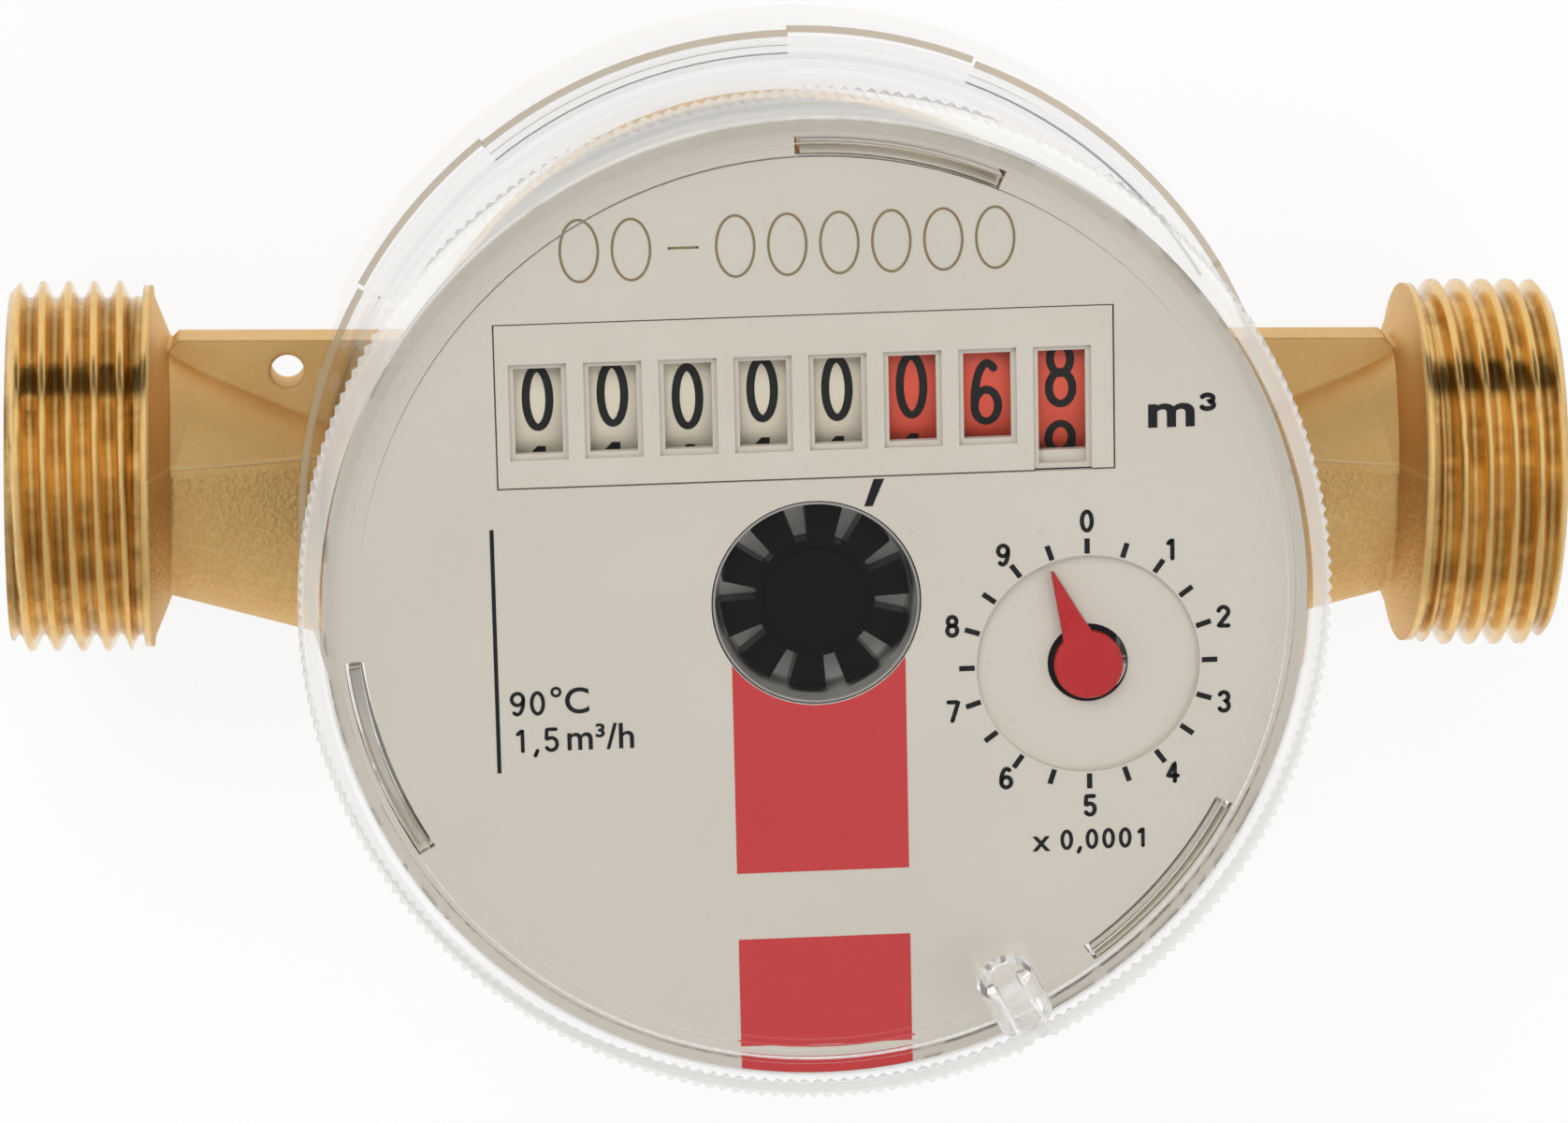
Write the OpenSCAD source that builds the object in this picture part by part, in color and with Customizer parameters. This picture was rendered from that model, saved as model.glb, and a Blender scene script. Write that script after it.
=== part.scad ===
// Single-jet water meter with a dry dial: a forged brass body with an impeller chamber,
// a magnetic coupling, a gear train with number rollers, and a clear cover that swivels.
// The dial faces up, the pipe runs along X, and the meter stands on the flat of its body.

/* [Pipe ends] */
// Length from end face to end face
overall_length = 110; // [104:1:130]
// Height of the pipe axis above the flat base
axis_height = 16; // [15.4:0.2:20]
// Outside diameter of the threaded ends
thread_d = 26.44; // [25:0.02:30]
// Length of each threaded end
thread_length = 9; // [8:0.5:12]
// Bore of each threaded end
port_d = 16; // [15:0.2:17]
// Chamfer on the end faces
end_chamfer = 0.8; // [0.4:0.1:1.2]
// Diameter of the necks where they leave the threaded ends
neck_d = 17.5; // [16.5:0.1:19]
// Diameter of the necks where they run into the cup
neck_cup_d = 14; // [13:0.5:17]
// Sideways angle of the two water channels
neck_angle = 19; // [15:0.5:21]
// Bore of the jet at the chamber wall
jet_d = 8.8; // [8:0.2:10]

/* [Body] */
// Outside diameter of the cup above the flange
cup_d = 53.6; // [53:0.2:55]
// Wall of the cup above the flange
cup_wall = 2.2; // [1.8:0.1:2.6]
// Diameter of the flat base
foot_d = 44; // [40:1:48]
// Thickness of the floor under the chamber
floor_t = 6; // [5:0.5:7]
// Diameter of the impeller chamber
chamber_d = 42.4; // [41:0.2:44]
// Height of the cover plate's seat above the pipe axis
seat_rise = 5.5; // [5.4:0.1:7]
// Diameter of the flange that carries the collar
flange_d = 56; // [55.4:0.2:58]
// Thickness of the flange
flange_t = 3; // [2:0.2:4]
// Height of the flange's top above the cover plate's seat
flange_rise = 1; // [0.5:0.1:2]
// Thickness of the seal lug
lug_t = 3.5; // [2.5:0.25:5]
// Diameter of the seal wire hole in the lug
lug_hole_d = 2.4; // [1.6:0.1:3]
// Distance of the seal wire hole from the pipe axis
lug_hole_offset = 7.6; // [7.2:0.1:8]

/* [Chamber parts] */
// Thickness of the cover plate's rim
plate_t = 1.5; // [1.2:0.1:2.5]
// Thickness of the seal ring
seal_t = 2; // [1.6:0.1:2.4]
// Height of the screwed clamp ring
clamp_h = 3; // [2.5:0.1:4]
// Radial width of the clamp ring
clamp_w = 4.5; // [3.5:0.1:6]
// Diameter of the impeller pivot
pivot_d = 2; // [1.6:0.1:2.4]
// Number of impeller blades
blade_count = 7; // [6:1:9]
// Thickness of the impeller blades
blade_t = 1.3; // [1:0.1:1.8]
// Diameter of the impeller magnet
magnet_d = 14; // [12:0.5:15]
// Height of the impeller magnet
magnet_h = 3.6; // [3:0.2:3.8]

/* [Collar] */
// Outside diameter of the clear collar
collar_d = 69; // [68.6:0.1:72]
// Wall of the clear collar
collar_wall = 1.1; // [0.9:0.1:1.2]
// Height of the clear collar
collar_h = 9.5; // [9:0.25:11]
// Number of catches round the collar
catch_count = 6; // [3:1:8]
// Arc of each gap between two catches
catch_gap = 22; // [16:1:28]

/* [Cover] */
// Step from the collar's outside in to the cover's grip band
grip_step = 0.08; // [0:0.02:0.6]
// Height of the grip band
grip_h = 3.2; // [2:0.2:8]
// Number of serrations round the grip band
grip_count = 240; // [60:12:300]
// Depth of the serrations
grip_depth = 0.3; // [0.15:0.05:0.4]
// Wall of the cover below the grip band
cover_wall = 1.1; // [0.8:0.1:1.2]
// Thickness of the window
window_t = 1.4; // [1:0.1:3]
// Gap between the dial and the window
window_gap = 0.7; // [0.6:0.1:2]
// Radial width of the ring groove in the window
groove_w = 0.9; // [0.6:0.1:1.2]
// Outside diameter of the seal eyelet on the cover
eyelet_d = 3.9; // [3:0.1:5]
// Hole of the seal eyelet
eyelet_hole_d = 1.8; // [1.2:0.1:2]
// Thickness of the register base
base_t = 1.6; // [1.2:0.1:2.4]
// Turn of the register on the body
register_turn = 1.9; // [-20:0.1:20]

/* [Dial] */
// Thickness of the dial
dial_t = 1; // [0.8:0.1:1.6]
// Diameter of the hole over the star wheel
star_hole_d = 14; // [13:0.2:15]
// Diameter of the recess under the pointer
sub_dial_d = 15; // [14:0.2:16]
// Depth of the recess under the pointer
sub_dial_depth = 0.4; // [0.2:0.05:0.5]
// Place of the pointer's axis to the right of the centre
pointer_x = 18.1; // [17.8:0.1:18.4]
// Place of the pointer's axis in front of the centre
pointer_y = 4.9; // [4.6:0.1:5.2]
// Length of the pointer from its axis to its tip
pointer_length = 6.9; // [5:0.1:7.2]
// Direction of the pointer at rest, from the right
pointer_angle = 110; // [0:1:359]

/* [Counter] */
// Diameter of the number rollers
roller_d = 17.4; // [17:0.1:18]
// Width of the number band on a roller
roller_w = 3.3; // [3.1:0.1:3.4]
// Distance from one roller to the next
roller_pitch = 4.95; // [4.9:0.05:5.05]
// Place of the counter's middle to the left of the centre
counter_x = 0.75; // [0.5:0.05:1]
// Place of the roller shaft behind the centre
counter_y = 13.9; // [13.7:0.1:14.2]
// Diameter of the roller shaft
roller_shaft_d = 2; // [1.6:0.1:2.2]
// Diameter of the shaft under the transfer pinions
pinion_shaft_d = 1.4; // [1.2:0.1:1.6]
// Width of the counter's windows
slot_w = 3.15; // [2.6:0.05:3.25]
// Height of the counter's windows
slot_h = 5.8; // [5:0.1:6.2]
// Extra height of the last window
slot_extra = 1.85; // [0:0.05:2.2]
// Width of the frame round the windows
bezel_w = 41; // [40:0.1:41.6]
// Height of the frame round the windows
bezel_h = 11.2; // [10.8:0.1:11.6]

/* [Gear train] */
// Module of the train's teeth
train_module = 0.4; // [0.39:0.005:0.41]
// Thickness of the train's wheels
wheel_t = 1.2; // [0.8:0.1:1.4]
// Diameter of the train's arbors
arbor_d = 1.6; // [1.2:0.1:1.8]
// Direction of the first wheel from the centre
first_angle = -80; // [-86:1:-76]
// Running clearance round every turning arbor, on the radius
running_gap = 0.04; // [0.02:0.01:0.06]

/* [Hidden] */
$fn = 96;

// Fits that several pieces share
eps = 0.01;
lap = 0.4;
past = 1;
seat_gap = 0.1;
fixed_gap = 0.02;
swivel_gap = 0.4;
touch_gap = 0.3;

// Heights, from the base up
seat_z = axis_height + seat_rise;
rim_z = seat_z + seal_t;
plate_top = rim_z + plate_t;
body_top = plate_top + clamp_h;
collar_z = seat_z + flange_rise;
collar_top = collar_z + collar_h;
base_z = body_top + swivel_gap;
base_floor = base_z + base_t;

// Radii of the body and the chamber
cup_r = cup_d / 2;
clamp_seat_r = cup_r - cup_wall;
chamber_r = chamber_d / 2;
flange_r = flange_d / 2;
thread_r = thread_d / 2;
end_x = overall_length / 2;
thread_x = end_x - thread_length;
relief_depth = 1.1;
relief_w = 0.5;
shoulder_w = 0.6;
shoulder_x = thread_x - relief_w - shoulder_w;
cone_w = 1.4;
neck_x = shoulder_x - cone_w;
neck_into_cup = 4;
neck_run = neck_x - chamber_r + neck_into_cup;
neck_wall = 2.4;
neck_lap = 1;
channel_d = neck_d - 2 * neck_wall;
jet_reach = 9.7;
shoulder_step = 0.3;
cone_step = 0.8;
cone_foot = 0.2;
lug_rise = 3;
lug_top = axis_height + lug_rise;
lug_reach = 9.85;
lug_corner = 0.9;
lug_lap = 0.4;
lug_hole_from_end = 19.7;
lug_hole_x = -(end_x - lug_hole_from_end);
foot_edge = 1;
cup_inset = 0.4;
foot_flare = 2.4;
cup_low_drop = 7;
cup_high_drop = 2;
cup_low_r = foot_d / 2 + foot_flare;
cup_low_z = axis_height - cup_low_drop;
cup_high_z = axis_height - cup_high_drop;
flange_cone = 1;
recess_r = 15;
recess_depth = 0.8;
recess_draft = 1;

// Chamber parts
boss_r = 3;
boss_h = 1.5;
pivot_r = pivot_d / 2;
blade_gap = 1.6;
blade_r = chamber_r - blade_gap;
hub_r = 4.5;
hub_rise = 0.3;
hub_z = floor_t + boss_h + touch_gap;
blade_lift = 1.2;
blade_drop = 2;
blade_z = hub_z + blade_lift;
blade_top = seat_z - blade_drop;
pocket_gap = 0.8;
pocket_r = magnet_d / 2 + pocket_gap;
pocket_wall = 1.4;
dome_r = pocket_r + pocket_wall;
stem_r = 3.4;
magnet_z = seat_z + seat_gap;
magnet_top = magnet_z + magnet_h;
pocket_top = magnet_top + pocket_gap;
dome_wall = 1.2;
dome_draft = 1;
dome_top = pocket_top + dome_wall;
spigot_h = 1.1;
pivot_seat = 0.6;
rib_gap = 2.7;
rib_l = 7;
rib_w = 2;
rib_h = 0.7;
key_w = 3;
disc_r = 9;
disc_t = 1.2;

// Collar and cover radii
collar_r = collar_d / 2;
collar_in = collar_r - collar_wall;
bead_r = collar_in - swivel_gap;
catch_hold = 0.25;
catch_in = bead_r - catch_hold;
catch_h = 1.2;
catch_step = 0.3;
catch_angle = 110.5;
neck_in = catch_in - touch_gap;
notch_side = 5.25;
notch_w = neck_d + 2 * notch_side;
notch_h = 5;
bead_top = collar_top - catch_h - swivel_gap;
cover_z = collar_top + touch_gap;
cover_in = bead_r;
cover_r = cover_in + cover_wall;
grip_r = collar_r - grip_step;
base_wall = 1.4;
base_in = neck_in - base_wall;
weld_h = 2.6;

// Counter, stacked on the register base
roller_r = roller_d / 2;
roller_count = 8;
pinion_teeth = 8;
carry_teeth = 20;
shaft_space = 0.4;
carry_distance = roller_r + pinion_shaft_d / 2 + shaft_space;
carry_module = carry_distance / ((pinion_teeth + carry_teeth) / 2);
tooth_rise = 0.8;
tooth_sink = 1.15;
pinion_tip = carry_module * (pinion_teeth / 2 + tooth_rise);
pinion_rise = 1.4;
pinion_z = base_floor + pinion_rise + pinion_tip;
roller_z = pinion_z + carry_distance;
roller_gap = 0.2;
dial_z = roller_z + roller_r + roller_gap;
dial_top = dial_z + dial_t;
window_z = dial_top + window_gap;
window_top = window_z + window_t;
first_roller_x = -counter_x - roller_pitch * (roller_count - 1) / 2;
flank_gap = roller_pitch - roller_w;
carry_t = flank_gap * 0.42;
carry_disc_t = flank_gap * 0.36;
dial_gap = 0.2;
dial_r = cover_in - dial_gap;

// Gear train
star_teeth = 10;
first_teeth = 36;
small_teeth = 12;
second_teeth = 36;
pointer_teeth = 48;
drive_teeth = 35;
worm_wheel_teeth = 10;
arbor_r = arbor_d / 2;
pointer_pos = [pointer_x, -pointer_y];
first_distance = train_module * (star_teeth + first_teeth) / 2;
second_distance = train_module * (small_teeth + second_teeth) / 2;
third_distance = train_module * (small_teeth + pointer_teeth) / 2;
first_pos = first_distance * [cos(first_angle), sin(first_angle)];
second_pos = meeting_point(first_pos, pointer_pos, second_distance, third_distance);
second_angle = direction(first_pos, second_pos);
third_angle = direction(second_pos, pointer_pos);
arbor_boss_r = 1.7;
arbor_boss_h = 0.8;
arbor_sink = 0.8;
arbor_foot = base_floor - arbor_sink;
driven_gap = 0.4;
driven_z = base_floor + arbor_boss_h + driven_gap;
driven_r = 6.2;
driven_h = 3.2;
shield_in = driven_r + touch_gap;
shield_wall = 0.7;
shield_over = 0.6;
shield_h = arbor_boss_h + driven_h + shield_over;
pointer_wheel_rise = 2.5;
pointer_wheel_z = base_floor + pointer_wheel_rise;
mesh_overhang = 0.4;
wheel_space = 1.3;
wheel_gap = 0.5;
second_wheel_z = base_floor + shield_h + mesh_overhang + wheel_gap;
first_wheel_z = second_wheel_z + wheel_t + wheel_space;
train_plate_rise = 4.4;
train_plate_z = roller_z + train_plate_rise;
train_plate_t = 1.4;
train_plate_top = train_plate_z + train_plate_t;
train_plate_inset = 1.55;
train_plate_r = base_in - train_plate_inset;
train_plate_back = 9.5;
train_plate_edge = counter_y - train_plate_back;
drive_y = counter_y - train_module * drive_teeth;
worm_pitch = 1.9;
worm_wheel_r = worm_wheel_teeth * worm_pitch / 360 * 180 / PI;
worm_distance = drive_y + pointer_y;
worm_tooth = 0.45;
worm_r = worm_distance - worm_wheel_r + worm_tooth;
worm_root = worm_distance - worm_wheel_r - worm_tooth - seat_gap;
worm_length = 6;
worm_wheel_w = 1.6;
worm_gap = 0.5;
drive_x = pointer_x + worm_r + worm_gap;
drive_t = 1;
drive_gap = 0.4;
ear_t = 1.4;
ear_gap = 0.6;
ear_half = 4;
ear_foot = 3.3;
ear_waist = 5;
ear_step = 1.5;
ear_head = 3.5;
arm_drop = 3.2;
arm_root = 9;
arm_lap = 3.2;
bracket_half = 2;
shaft_end = 0.4;
left_ear_x = first_roller_x - roller_w / 2 - ear_gap - ear_t;
right_ear_x = drive_x + drive_t + drive_gap;
bracket_t = 1.2;
bracket_x = pointer_x - worm_wheel_w / 2 - ear_gap - bracket_t;
post_r = 2.2;
post_places = [[-12, -11], [-3, -21.5], [-23, -4]];
star_floor_t = 0.6;
star_floor_hole_r = 2.2;
star_gap = 0.25;
star_lip = 0.15;
star_z = train_plate_top + star_floor_t + touch_gap;
star_points = 10;
star_t = 1.8;
star_r = 6.3;
star_slot_w = 1.7;
star_slot_root = 0.75;
star_slot_in = 4;
star_hub_r = 3.4;
star_hub_rise = 0.4;
star_turn = 12;

// Dial openings
dial_slot_edge = 1.2;
dial_slot_w = 1.3;
dial_slot_out = dial_r - dial_slot_edge;
dial_slot_in = dial_slot_out - dial_slot_w;
dial_slot_arc = 26;
dial_slot_angle = 78.5;
leg_gap = 0.25;
pointer_hole_r = 2.7;
pointer_lift = 0.15;
pointer_z = dial_top - sub_dial_depth + pointer_lift;
pointer_t = 0.7;
pointer_cap = 0.5;
bezel_right = 0.3;
bezel_up = 0.15;
bezel_x = -counter_x + bezel_right;
bezel_y = counter_y + bezel_up;
bezel_flange = 1.2;
bezel_flange_t = 0.6;

// Sizes of single pieces
groove_shift = 0.2;
groove_in = dial_slot_in + groove_shift;
eyelet_angle = -65;
eyelet_slope = 25;
eyelet_inset = 2.92;
eyelet_foot = grip_r - eyelet_inset;
eyelet_lift = 0.7;
eyelet_length = 4;
strainer_inset = 0.4;
basket_gap = 0.8;
strainer_wall = 0.8;
strainer_rings = 3;
strainer_flange = 1;
strainer_length = 7.4;
strainer_hole_r = 0.65;
window_bevel = 0.35;
slot_drop = 0.25;
bezel_sink = 0.1;

// Point at distance dp from p and dq from q, on the right of the way from p to q
function meeting_point(p, q, dp, dq) =
    let (v = q - p, d = norm(v), a = (dp * dp - dq * dq + d * d) / (2 * d), u = v / d)
    p + a * u + sqrt(dp * dp - a * a) * [u[1], -u[0]];

// Direction from p to q in degrees
function direction(p, q) = atan2(q[1] - p[1], q[0] - p[0]);

// Outline of a spur gear with one tooth centred on the angle phase
function gear_outline(teeth, mod, phase) =
    [for (i = [0:teeth - 1], k = [0:3])
        let (side = [-0.29, -0.11, 0.11, 0.29][k],
             r = mod * (teeth / 2 + (k == 1 || k == 2 ? tooth_rise : -tooth_sink)),
             a = phase + (i + side) * 360 / teeth)
        r * [cos(a), sin(a)]];

// Phase of a gear that has a gap, not a tooth, in this direction
function gap_phase(teeth, towards) = towards + 180 / teeth;

// Place of roller i, counted from the left
function roller_x(i) = first_roller_x + (i - 1) * roller_pitch;

module gear(teeth, mod, thickness, phase) {
    linear_extrude(thickness) polygon(gear_outline(teeth, mod, phase));
}

// Tube along Z
module tube(outer, inner, height) {
    difference() {
        cylinder(r = outer, h = height);
        translate([0, 0, -eps]) cylinder(r = inner, h = height + 2 * eps);
    }
}

// Sector of a ring along Z, from one angle to another, under 180 degrees
module ring_sector(outer, inner, height, from, to) {
    far = outer * 2;
    mid = (from + to) / 2;
    intersection() {
        tube(outer, inner, height);
        linear_extrude(height)
            polygon([[0, 0], for (a = [from, mid, to]) far * [cos(a), sin(a)]]);
    }
}

// Turns what is drawn along Z to lie along X
module along_x() {
    rotate([0, 90, 0]) children();
}

// Turns the register's pieces on the body
module on_register() {
    rotate([0, 0, register_turn]) children();
}

// Both pipe ends, the second one mirrored
module both_ends() {
    children();
    mirror([1, 0, 0]) children();
}

// Solid of one threaded end, its shoulder and its neck, on the left
module end_solid() {
    translate([-end_x, 0, axis_height]) along_x() {
        cylinder(r1 = thread_r - end_chamfer, r2 = thread_r, h = end_chamfer);
        translate([0, 0, end_chamfer]) cylinder(r = thread_r, h = thread_length - end_chamfer);
        translate([0, 0, thread_length]) cylinder(r = thread_r - relief_depth, h = relief_w);
        translate([0, 0, thread_length + relief_w]) cylinder(r = thread_r - shoulder_step, h = shoulder_w);
        translate([0, 0, thread_length + relief_w + shoulder_w])
            cylinder(r1 = thread_r - cone_step, r2 = neck_d / 2 + cone_foot, h = cone_w);
    }
    translate([-neck_x - neck_lap, 0, axis_height]) rotate([0, 0, -neck_angle]) along_x()
        cylinder(r1 = neck_d / 2, r2 = neck_cup_d / 2, h = neck_run);
}

// Water way of one end, on the left
module end_channel() {
    translate([-end_x - eps, 0, axis_height]) along_x() cylinder(r = port_d / 2, h = thread_length);
    translate([-thread_x - neck_lap, 0, axis_height]) rotate([0, 0, -neck_angle]) along_x()
        cylinder(r1 = channel_d / 2, r2 = jet_d / 2, h = neck_run + jet_reach);
}

// Flat web beside one neck, on the left
module neck_web() {
    translate([0, 0, lug_top - lug_t]) linear_extrude(lug_t)
        polygon([[-neck_x - lug_lap, 0], [-neck_x - lug_lap, lug_reach - lug_corner],
                 [-neck_x - lug_lap + lug_corner, lug_reach], [-chamber_r - neck_lap, lug_reach],
                 [-chamber_r - neck_lap, 0]]);
}

// Forged and turned brass body
module body() {
    color([0.80, 0.62, 0.30]) difference() {
        union() {
            rotate_extrude()
                polygon([[0, 0], [foot_d / 2 - foot_edge, 0], [foot_d / 2, foot_edge], [cup_low_r, cup_low_z],
                         [cup_r - cup_inset, cup_high_z],
                         [cup_r - cup_inset, collar_z - flange_t - flange_cone],
                         [flange_r, collar_z - flange_t], [flange_r, collar_z], [cup_r, collar_z],
                         [cup_r, body_top - cup_inset], [cup_r - cup_inset, body_top], [0, body_top]]);
            both_ends() end_solid();
            both_ends() neck_web();
        }
        translate([0, 0, floor_t]) cylinder(r = chamber_r, h = body_top);
        translate([0, 0, seat_z]) cylinder(r = clamp_seat_r, h = body_top);
        both_ends() end_channel();
        translate([lug_hole_x, lug_hole_offset, lug_top - lug_t - past])
            cylinder(r = lug_hole_d / 2, h = lug_t + 2 * past);
        translate([0, 0, -eps]) cylinder(r1 = recess_r, r2 = recess_r - recess_draft, h = recess_depth);
    }
    color([0.80, 0.62, 0.30]) translate([0, 0, floor_t - lap])
        tube(boss_r, pivot_r + fixed_gap, boss_h + lap);
}

// Plastic sieve cup in the inlet
module inlet_strainer() {
    basket_r = port_d / 2 - basket_gap;
    color([0.92, 0.92, 0.9]) translate([-end_x + strainer_inset, 0, axis_height]) along_x() {
        tube(port_d / 2 - seat_gap, basket_r - strainer_wall, strainer_flange);
        tube(basket_r, basket_r - strainer_wall, strainer_length);
        difference() {
            translate([0, 0, strainer_length - strainer_wall]) cylinder(r = basket_r, h = strainer_wall);
            for (ring = [0:strainer_rings], i = [0:max(0, ring * 6 - 1)])
                rotate([0, 0, i * 60 / max(1, ring)])
                    translate([ring * basket_r / (strainer_rings + 1), 0, 0])
                        cylinder(r = strainer_hole_r, h = strainer_length + past);
        }
    }
}

// Steel pin that the impeller turns on
module impeller_pivot() {
    color("silver") translate([0, 0, floor_t]) cylinder(r = pivot_r, h = pocket_top + pivot_seat - floor_t);
}

// Plastic plate that closes the chamber, with the pocket for the impeller magnet
module pressure_plate() {
    spigot_r = chamber_r - seat_gap;
    waist_r = clamp_seat_r - seal_t - 2 * seat_gap;
    color([0.25, 0.26, 0.28]) difference() {
        union() {
            translate([0, 0, seat_z - spigot_h]) cylinder(r = spigot_r, h = spigot_h);
            translate([0, 0, seat_z - lap]) cylinder(r = min(spigot_r, waist_r) - lap, h = 2 * lap);
            translate([0, 0, seat_z]) cylinder(r = waist_r, h = seal_t + lap);
            translate([0, 0, rim_z]) cylinder(r = clamp_seat_r - seat_gap, h = plate_t);
            translate([0, 0, plate_top - lap])
                cylinder(r1 = dome_r + dome_draft, r2 = dome_r, h = dome_top - plate_top + lap);
            for (i = [0:2]) rotate([0, 0, i * 120 + 30])
                translate([pocket_r + rib_gap, -rib_w / 2, seat_z - spigot_h - rib_h])
                    cube([rib_l, rib_w, rib_h + lap]);
        }
        translate([0, 0, seat_z - spigot_h - past])
            cylinder(r = pocket_r, h = pocket_top - seat_z + spigot_h + past);
        translate([0, 0, pocket_top - past])
            cylinder(r = pivot_r + fixed_gap, h = past + pivot_seat + seat_gap);
    }
}

// Rubber seal ring under the cover plate's rim
module seal_ring() {
    ring_r = clamp_seat_r - seal_t / 2 - seat_gap;
    color([0.1, 0.1, 0.1]) translate([0, 0, seat_z + seal_t / 2])
        rotate_extrude() translate([ring_r, 0]) circle(r = seal_t / 2 - fixed_gap, $fn = 32);
}

// Brass ring that screws down on the cover plate, with four key slots
module clamp_ring() {
    color([0.78, 0.6, 0.3]) translate([0, 0, plate_top]) difference() {
        tube(clamp_seat_r - seat_gap, clamp_seat_r - seat_gap - clamp_w, clamp_h);
        for (i = [0:3]) rotate([0, 0, 45 + i * 90])
            translate([clamp_seat_r - clamp_w - past, -key_w / 2, clamp_h / 2]) cube([key_w, key_w, clamp_h]);
    }
}

// Clear collar on the body's flange, with catches over the register base
module collar_ring() {
    inner_r = cup_r + touch_gap;
    floor_h = 1.8;
    lip_w = 1.2;
    color([0.9, 0.92, 0.93, 0.5]) difference() {
        union() {
            translate([0, 0, collar_z]) tube(collar_r, collar_in, collar_h);
            translate([0, 0, collar_z]) tube(collar_in + lap, inner_r, floor_h);
            translate([0, 0, collar_z]) tube(inner_r + lip_w, inner_r, body_top - collar_z);
            for (i = [0:catch_count - 1]) rotate([0, 0, i * 360 / catch_count + catch_angle])
                translate([0, 0, collar_top - catch_h])
                    ring_sector(collar_in + lap, catch_in, catch_h - catch_step,
                                catch_gap / 2 - 180 / catch_count, 180 / catch_count - catch_gap / 2);
        }
        for (i = [0:catch_count - 1]) rotate([0, 0, i * 360 / catch_count + catch_angle + 180 / catch_count])
            translate([0, 0, collar_top - catch_h - swivel_gap])
                ring_sector(collar_r + past, collar_in - past, catch_h + past, -catch_gap / 2, catch_gap / 2);
        for (side = [-1, 1])
            translate([side > 0 ? 0 : -collar_r - past, -notch_w / 2, collar_z - past])
                cube([collar_r + past, notch_w, notch_h + past]);
    }
}

// Impeller with flat blades and a stem for its magnet
module impeller() {
    color([0.93, 0.93, 0.9]) difference() {
        union() {
            translate([0, 0, hub_z]) cylinder(r = hub_r, h = blade_top - hub_z + hub_rise);
            translate([0, 0, blade_top - lap]) cylinder(r = stem_r, h = magnet_top - blade_top + lap);
            translate([0, 0, blade_z]) cylinder(r = disc_r, h = disc_t);
            for (i = [0:blade_count - 1]) rotate([0, 0, i * 360 / blade_count])
                translate([0, -blade_t / 2, blade_z]) cube([blade_r, blade_t, blade_top - blade_z]);
        }
        translate([0, 0, hub_z - past]) cylinder(r = pivot_r + running_gap, h = magnet_top);
    }
}

// Ring magnet on the impeller
module impeller_magnet() {
    color([0.2, 0.2, 0.22]) translate([0, 0, magnet_z]) tube(magnet_d / 2, stem_r + fixed_gap, magnet_h);
}

// Clear base of the register, held under the collar's catches
module register_base() {
    color([0.9, 0.92, 0.93, 0.5]) on_register() difference() {
        union() {
            rotate_extrude()
                polygon([[0, base_z], [bead_r, base_z], [bead_r, bead_top], [neck_in, bead_top],
                         [neck_in, cover_z], [cover_in - fixed_gap, cover_z],
                         [cover_in - fixed_gap, cover_z + weld_h],
                         [base_in, cover_z + weld_h], [base_in, base_floor], [0, base_floor]]);
            for (p = [[0, 0], first_pos, second_pos, pointer_pos])
                translate([p[0], p[1], base_floor - lap]) cylinder(r = arbor_boss_r, h = arbor_boss_h + lap);
        }
        for (p = [[0, 0], pointer_pos])
            translate([p[0], p[1], arbor_foot]) cylinder(r = arbor_r + running_gap, h = base_t + past);
        for (p = [first_pos, second_pos])
            translate([p[0], p[1], arbor_foot]) cylinder(r = arbor_r + fixed_gap, h = base_t + past);
    }
}

// Serrated band round the cover
module grip_band() {
    points = [for (i = [0:2 * grip_count - 1])
        let (r = grip_r - (i % 2) * grip_depth, a = i * 180 / grip_count) r * [cos(a), sin(a)]];
    linear_extrude(grip_h) polygon(points);
}

// Place and slope of the seal eyelet, drawn along Z from its outer end
module at_eyelet() {
    rotate([0, 0, eyelet_angle]) translate([eyelet_foot, 0, window_top + eyelet_lift])
        rotate([0, -90 + eyelet_slope, 0]) children();
}

// Clear cover with its window, grip band, dial legs and seal eyelet
module clear_cover() {
    edge = 0.9;
    rim_gap = 0.4;
    rim_in = dial_slot_out + rim_gap;
    grip_root = 0.12;
    core_r = grip_r - grip_depth - grip_root;
    leg_drop = 2;
    leg_end = 0.6;
    groove_depth = 0.6;
    hole_past = 4;
    color([0.9, 0.92, 0.93, 0.4]) on_register() difference() {
        union() {
            rotate_extrude()
                polygon([[cover_in, cover_z], [cover_r, cover_z], [cover_r, dial_z], [core_r, dial_z],
                         [core_r, window_top - edge], [core_r - edge, window_top], [0, window_top],
                         [0, window_z], [rim_in, window_z], [rim_in, dial_top], [cover_in, dial_top]]);
            translate([0, 0, window_top - edge - grip_h]) difference() {
                grip_band();
                translate([0, 0, -past]) cylinder(r = core_r - lap, h = grip_h + 2 * past);
            }
            for (i = [0:2]) rotate([0, 0, dial_slot_angle + i * 120])
                translate([0, 0, dial_z - leg_drop])
                    ring_sector(dial_slot_out - leg_gap, dial_slot_in + leg_gap,
                                window_z - dial_z + leg_drop + lap,
                                leg_end - dial_slot_arc / 2, dial_slot_arc / 2 - leg_end);
            at_eyelet() cylinder(r = eyelet_d / 2, h = eyelet_length);
        }
        translate([0, 0, window_top - groove_depth])
            tube(groove_in + groove_w, groove_in, groove_depth + past);
        at_eyelet() translate([0, 0, -hole_past])
            cylinder(r = eyelet_hole_d / 2, h = eyelet_length + 2 * hole_past);
    }
}

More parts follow.
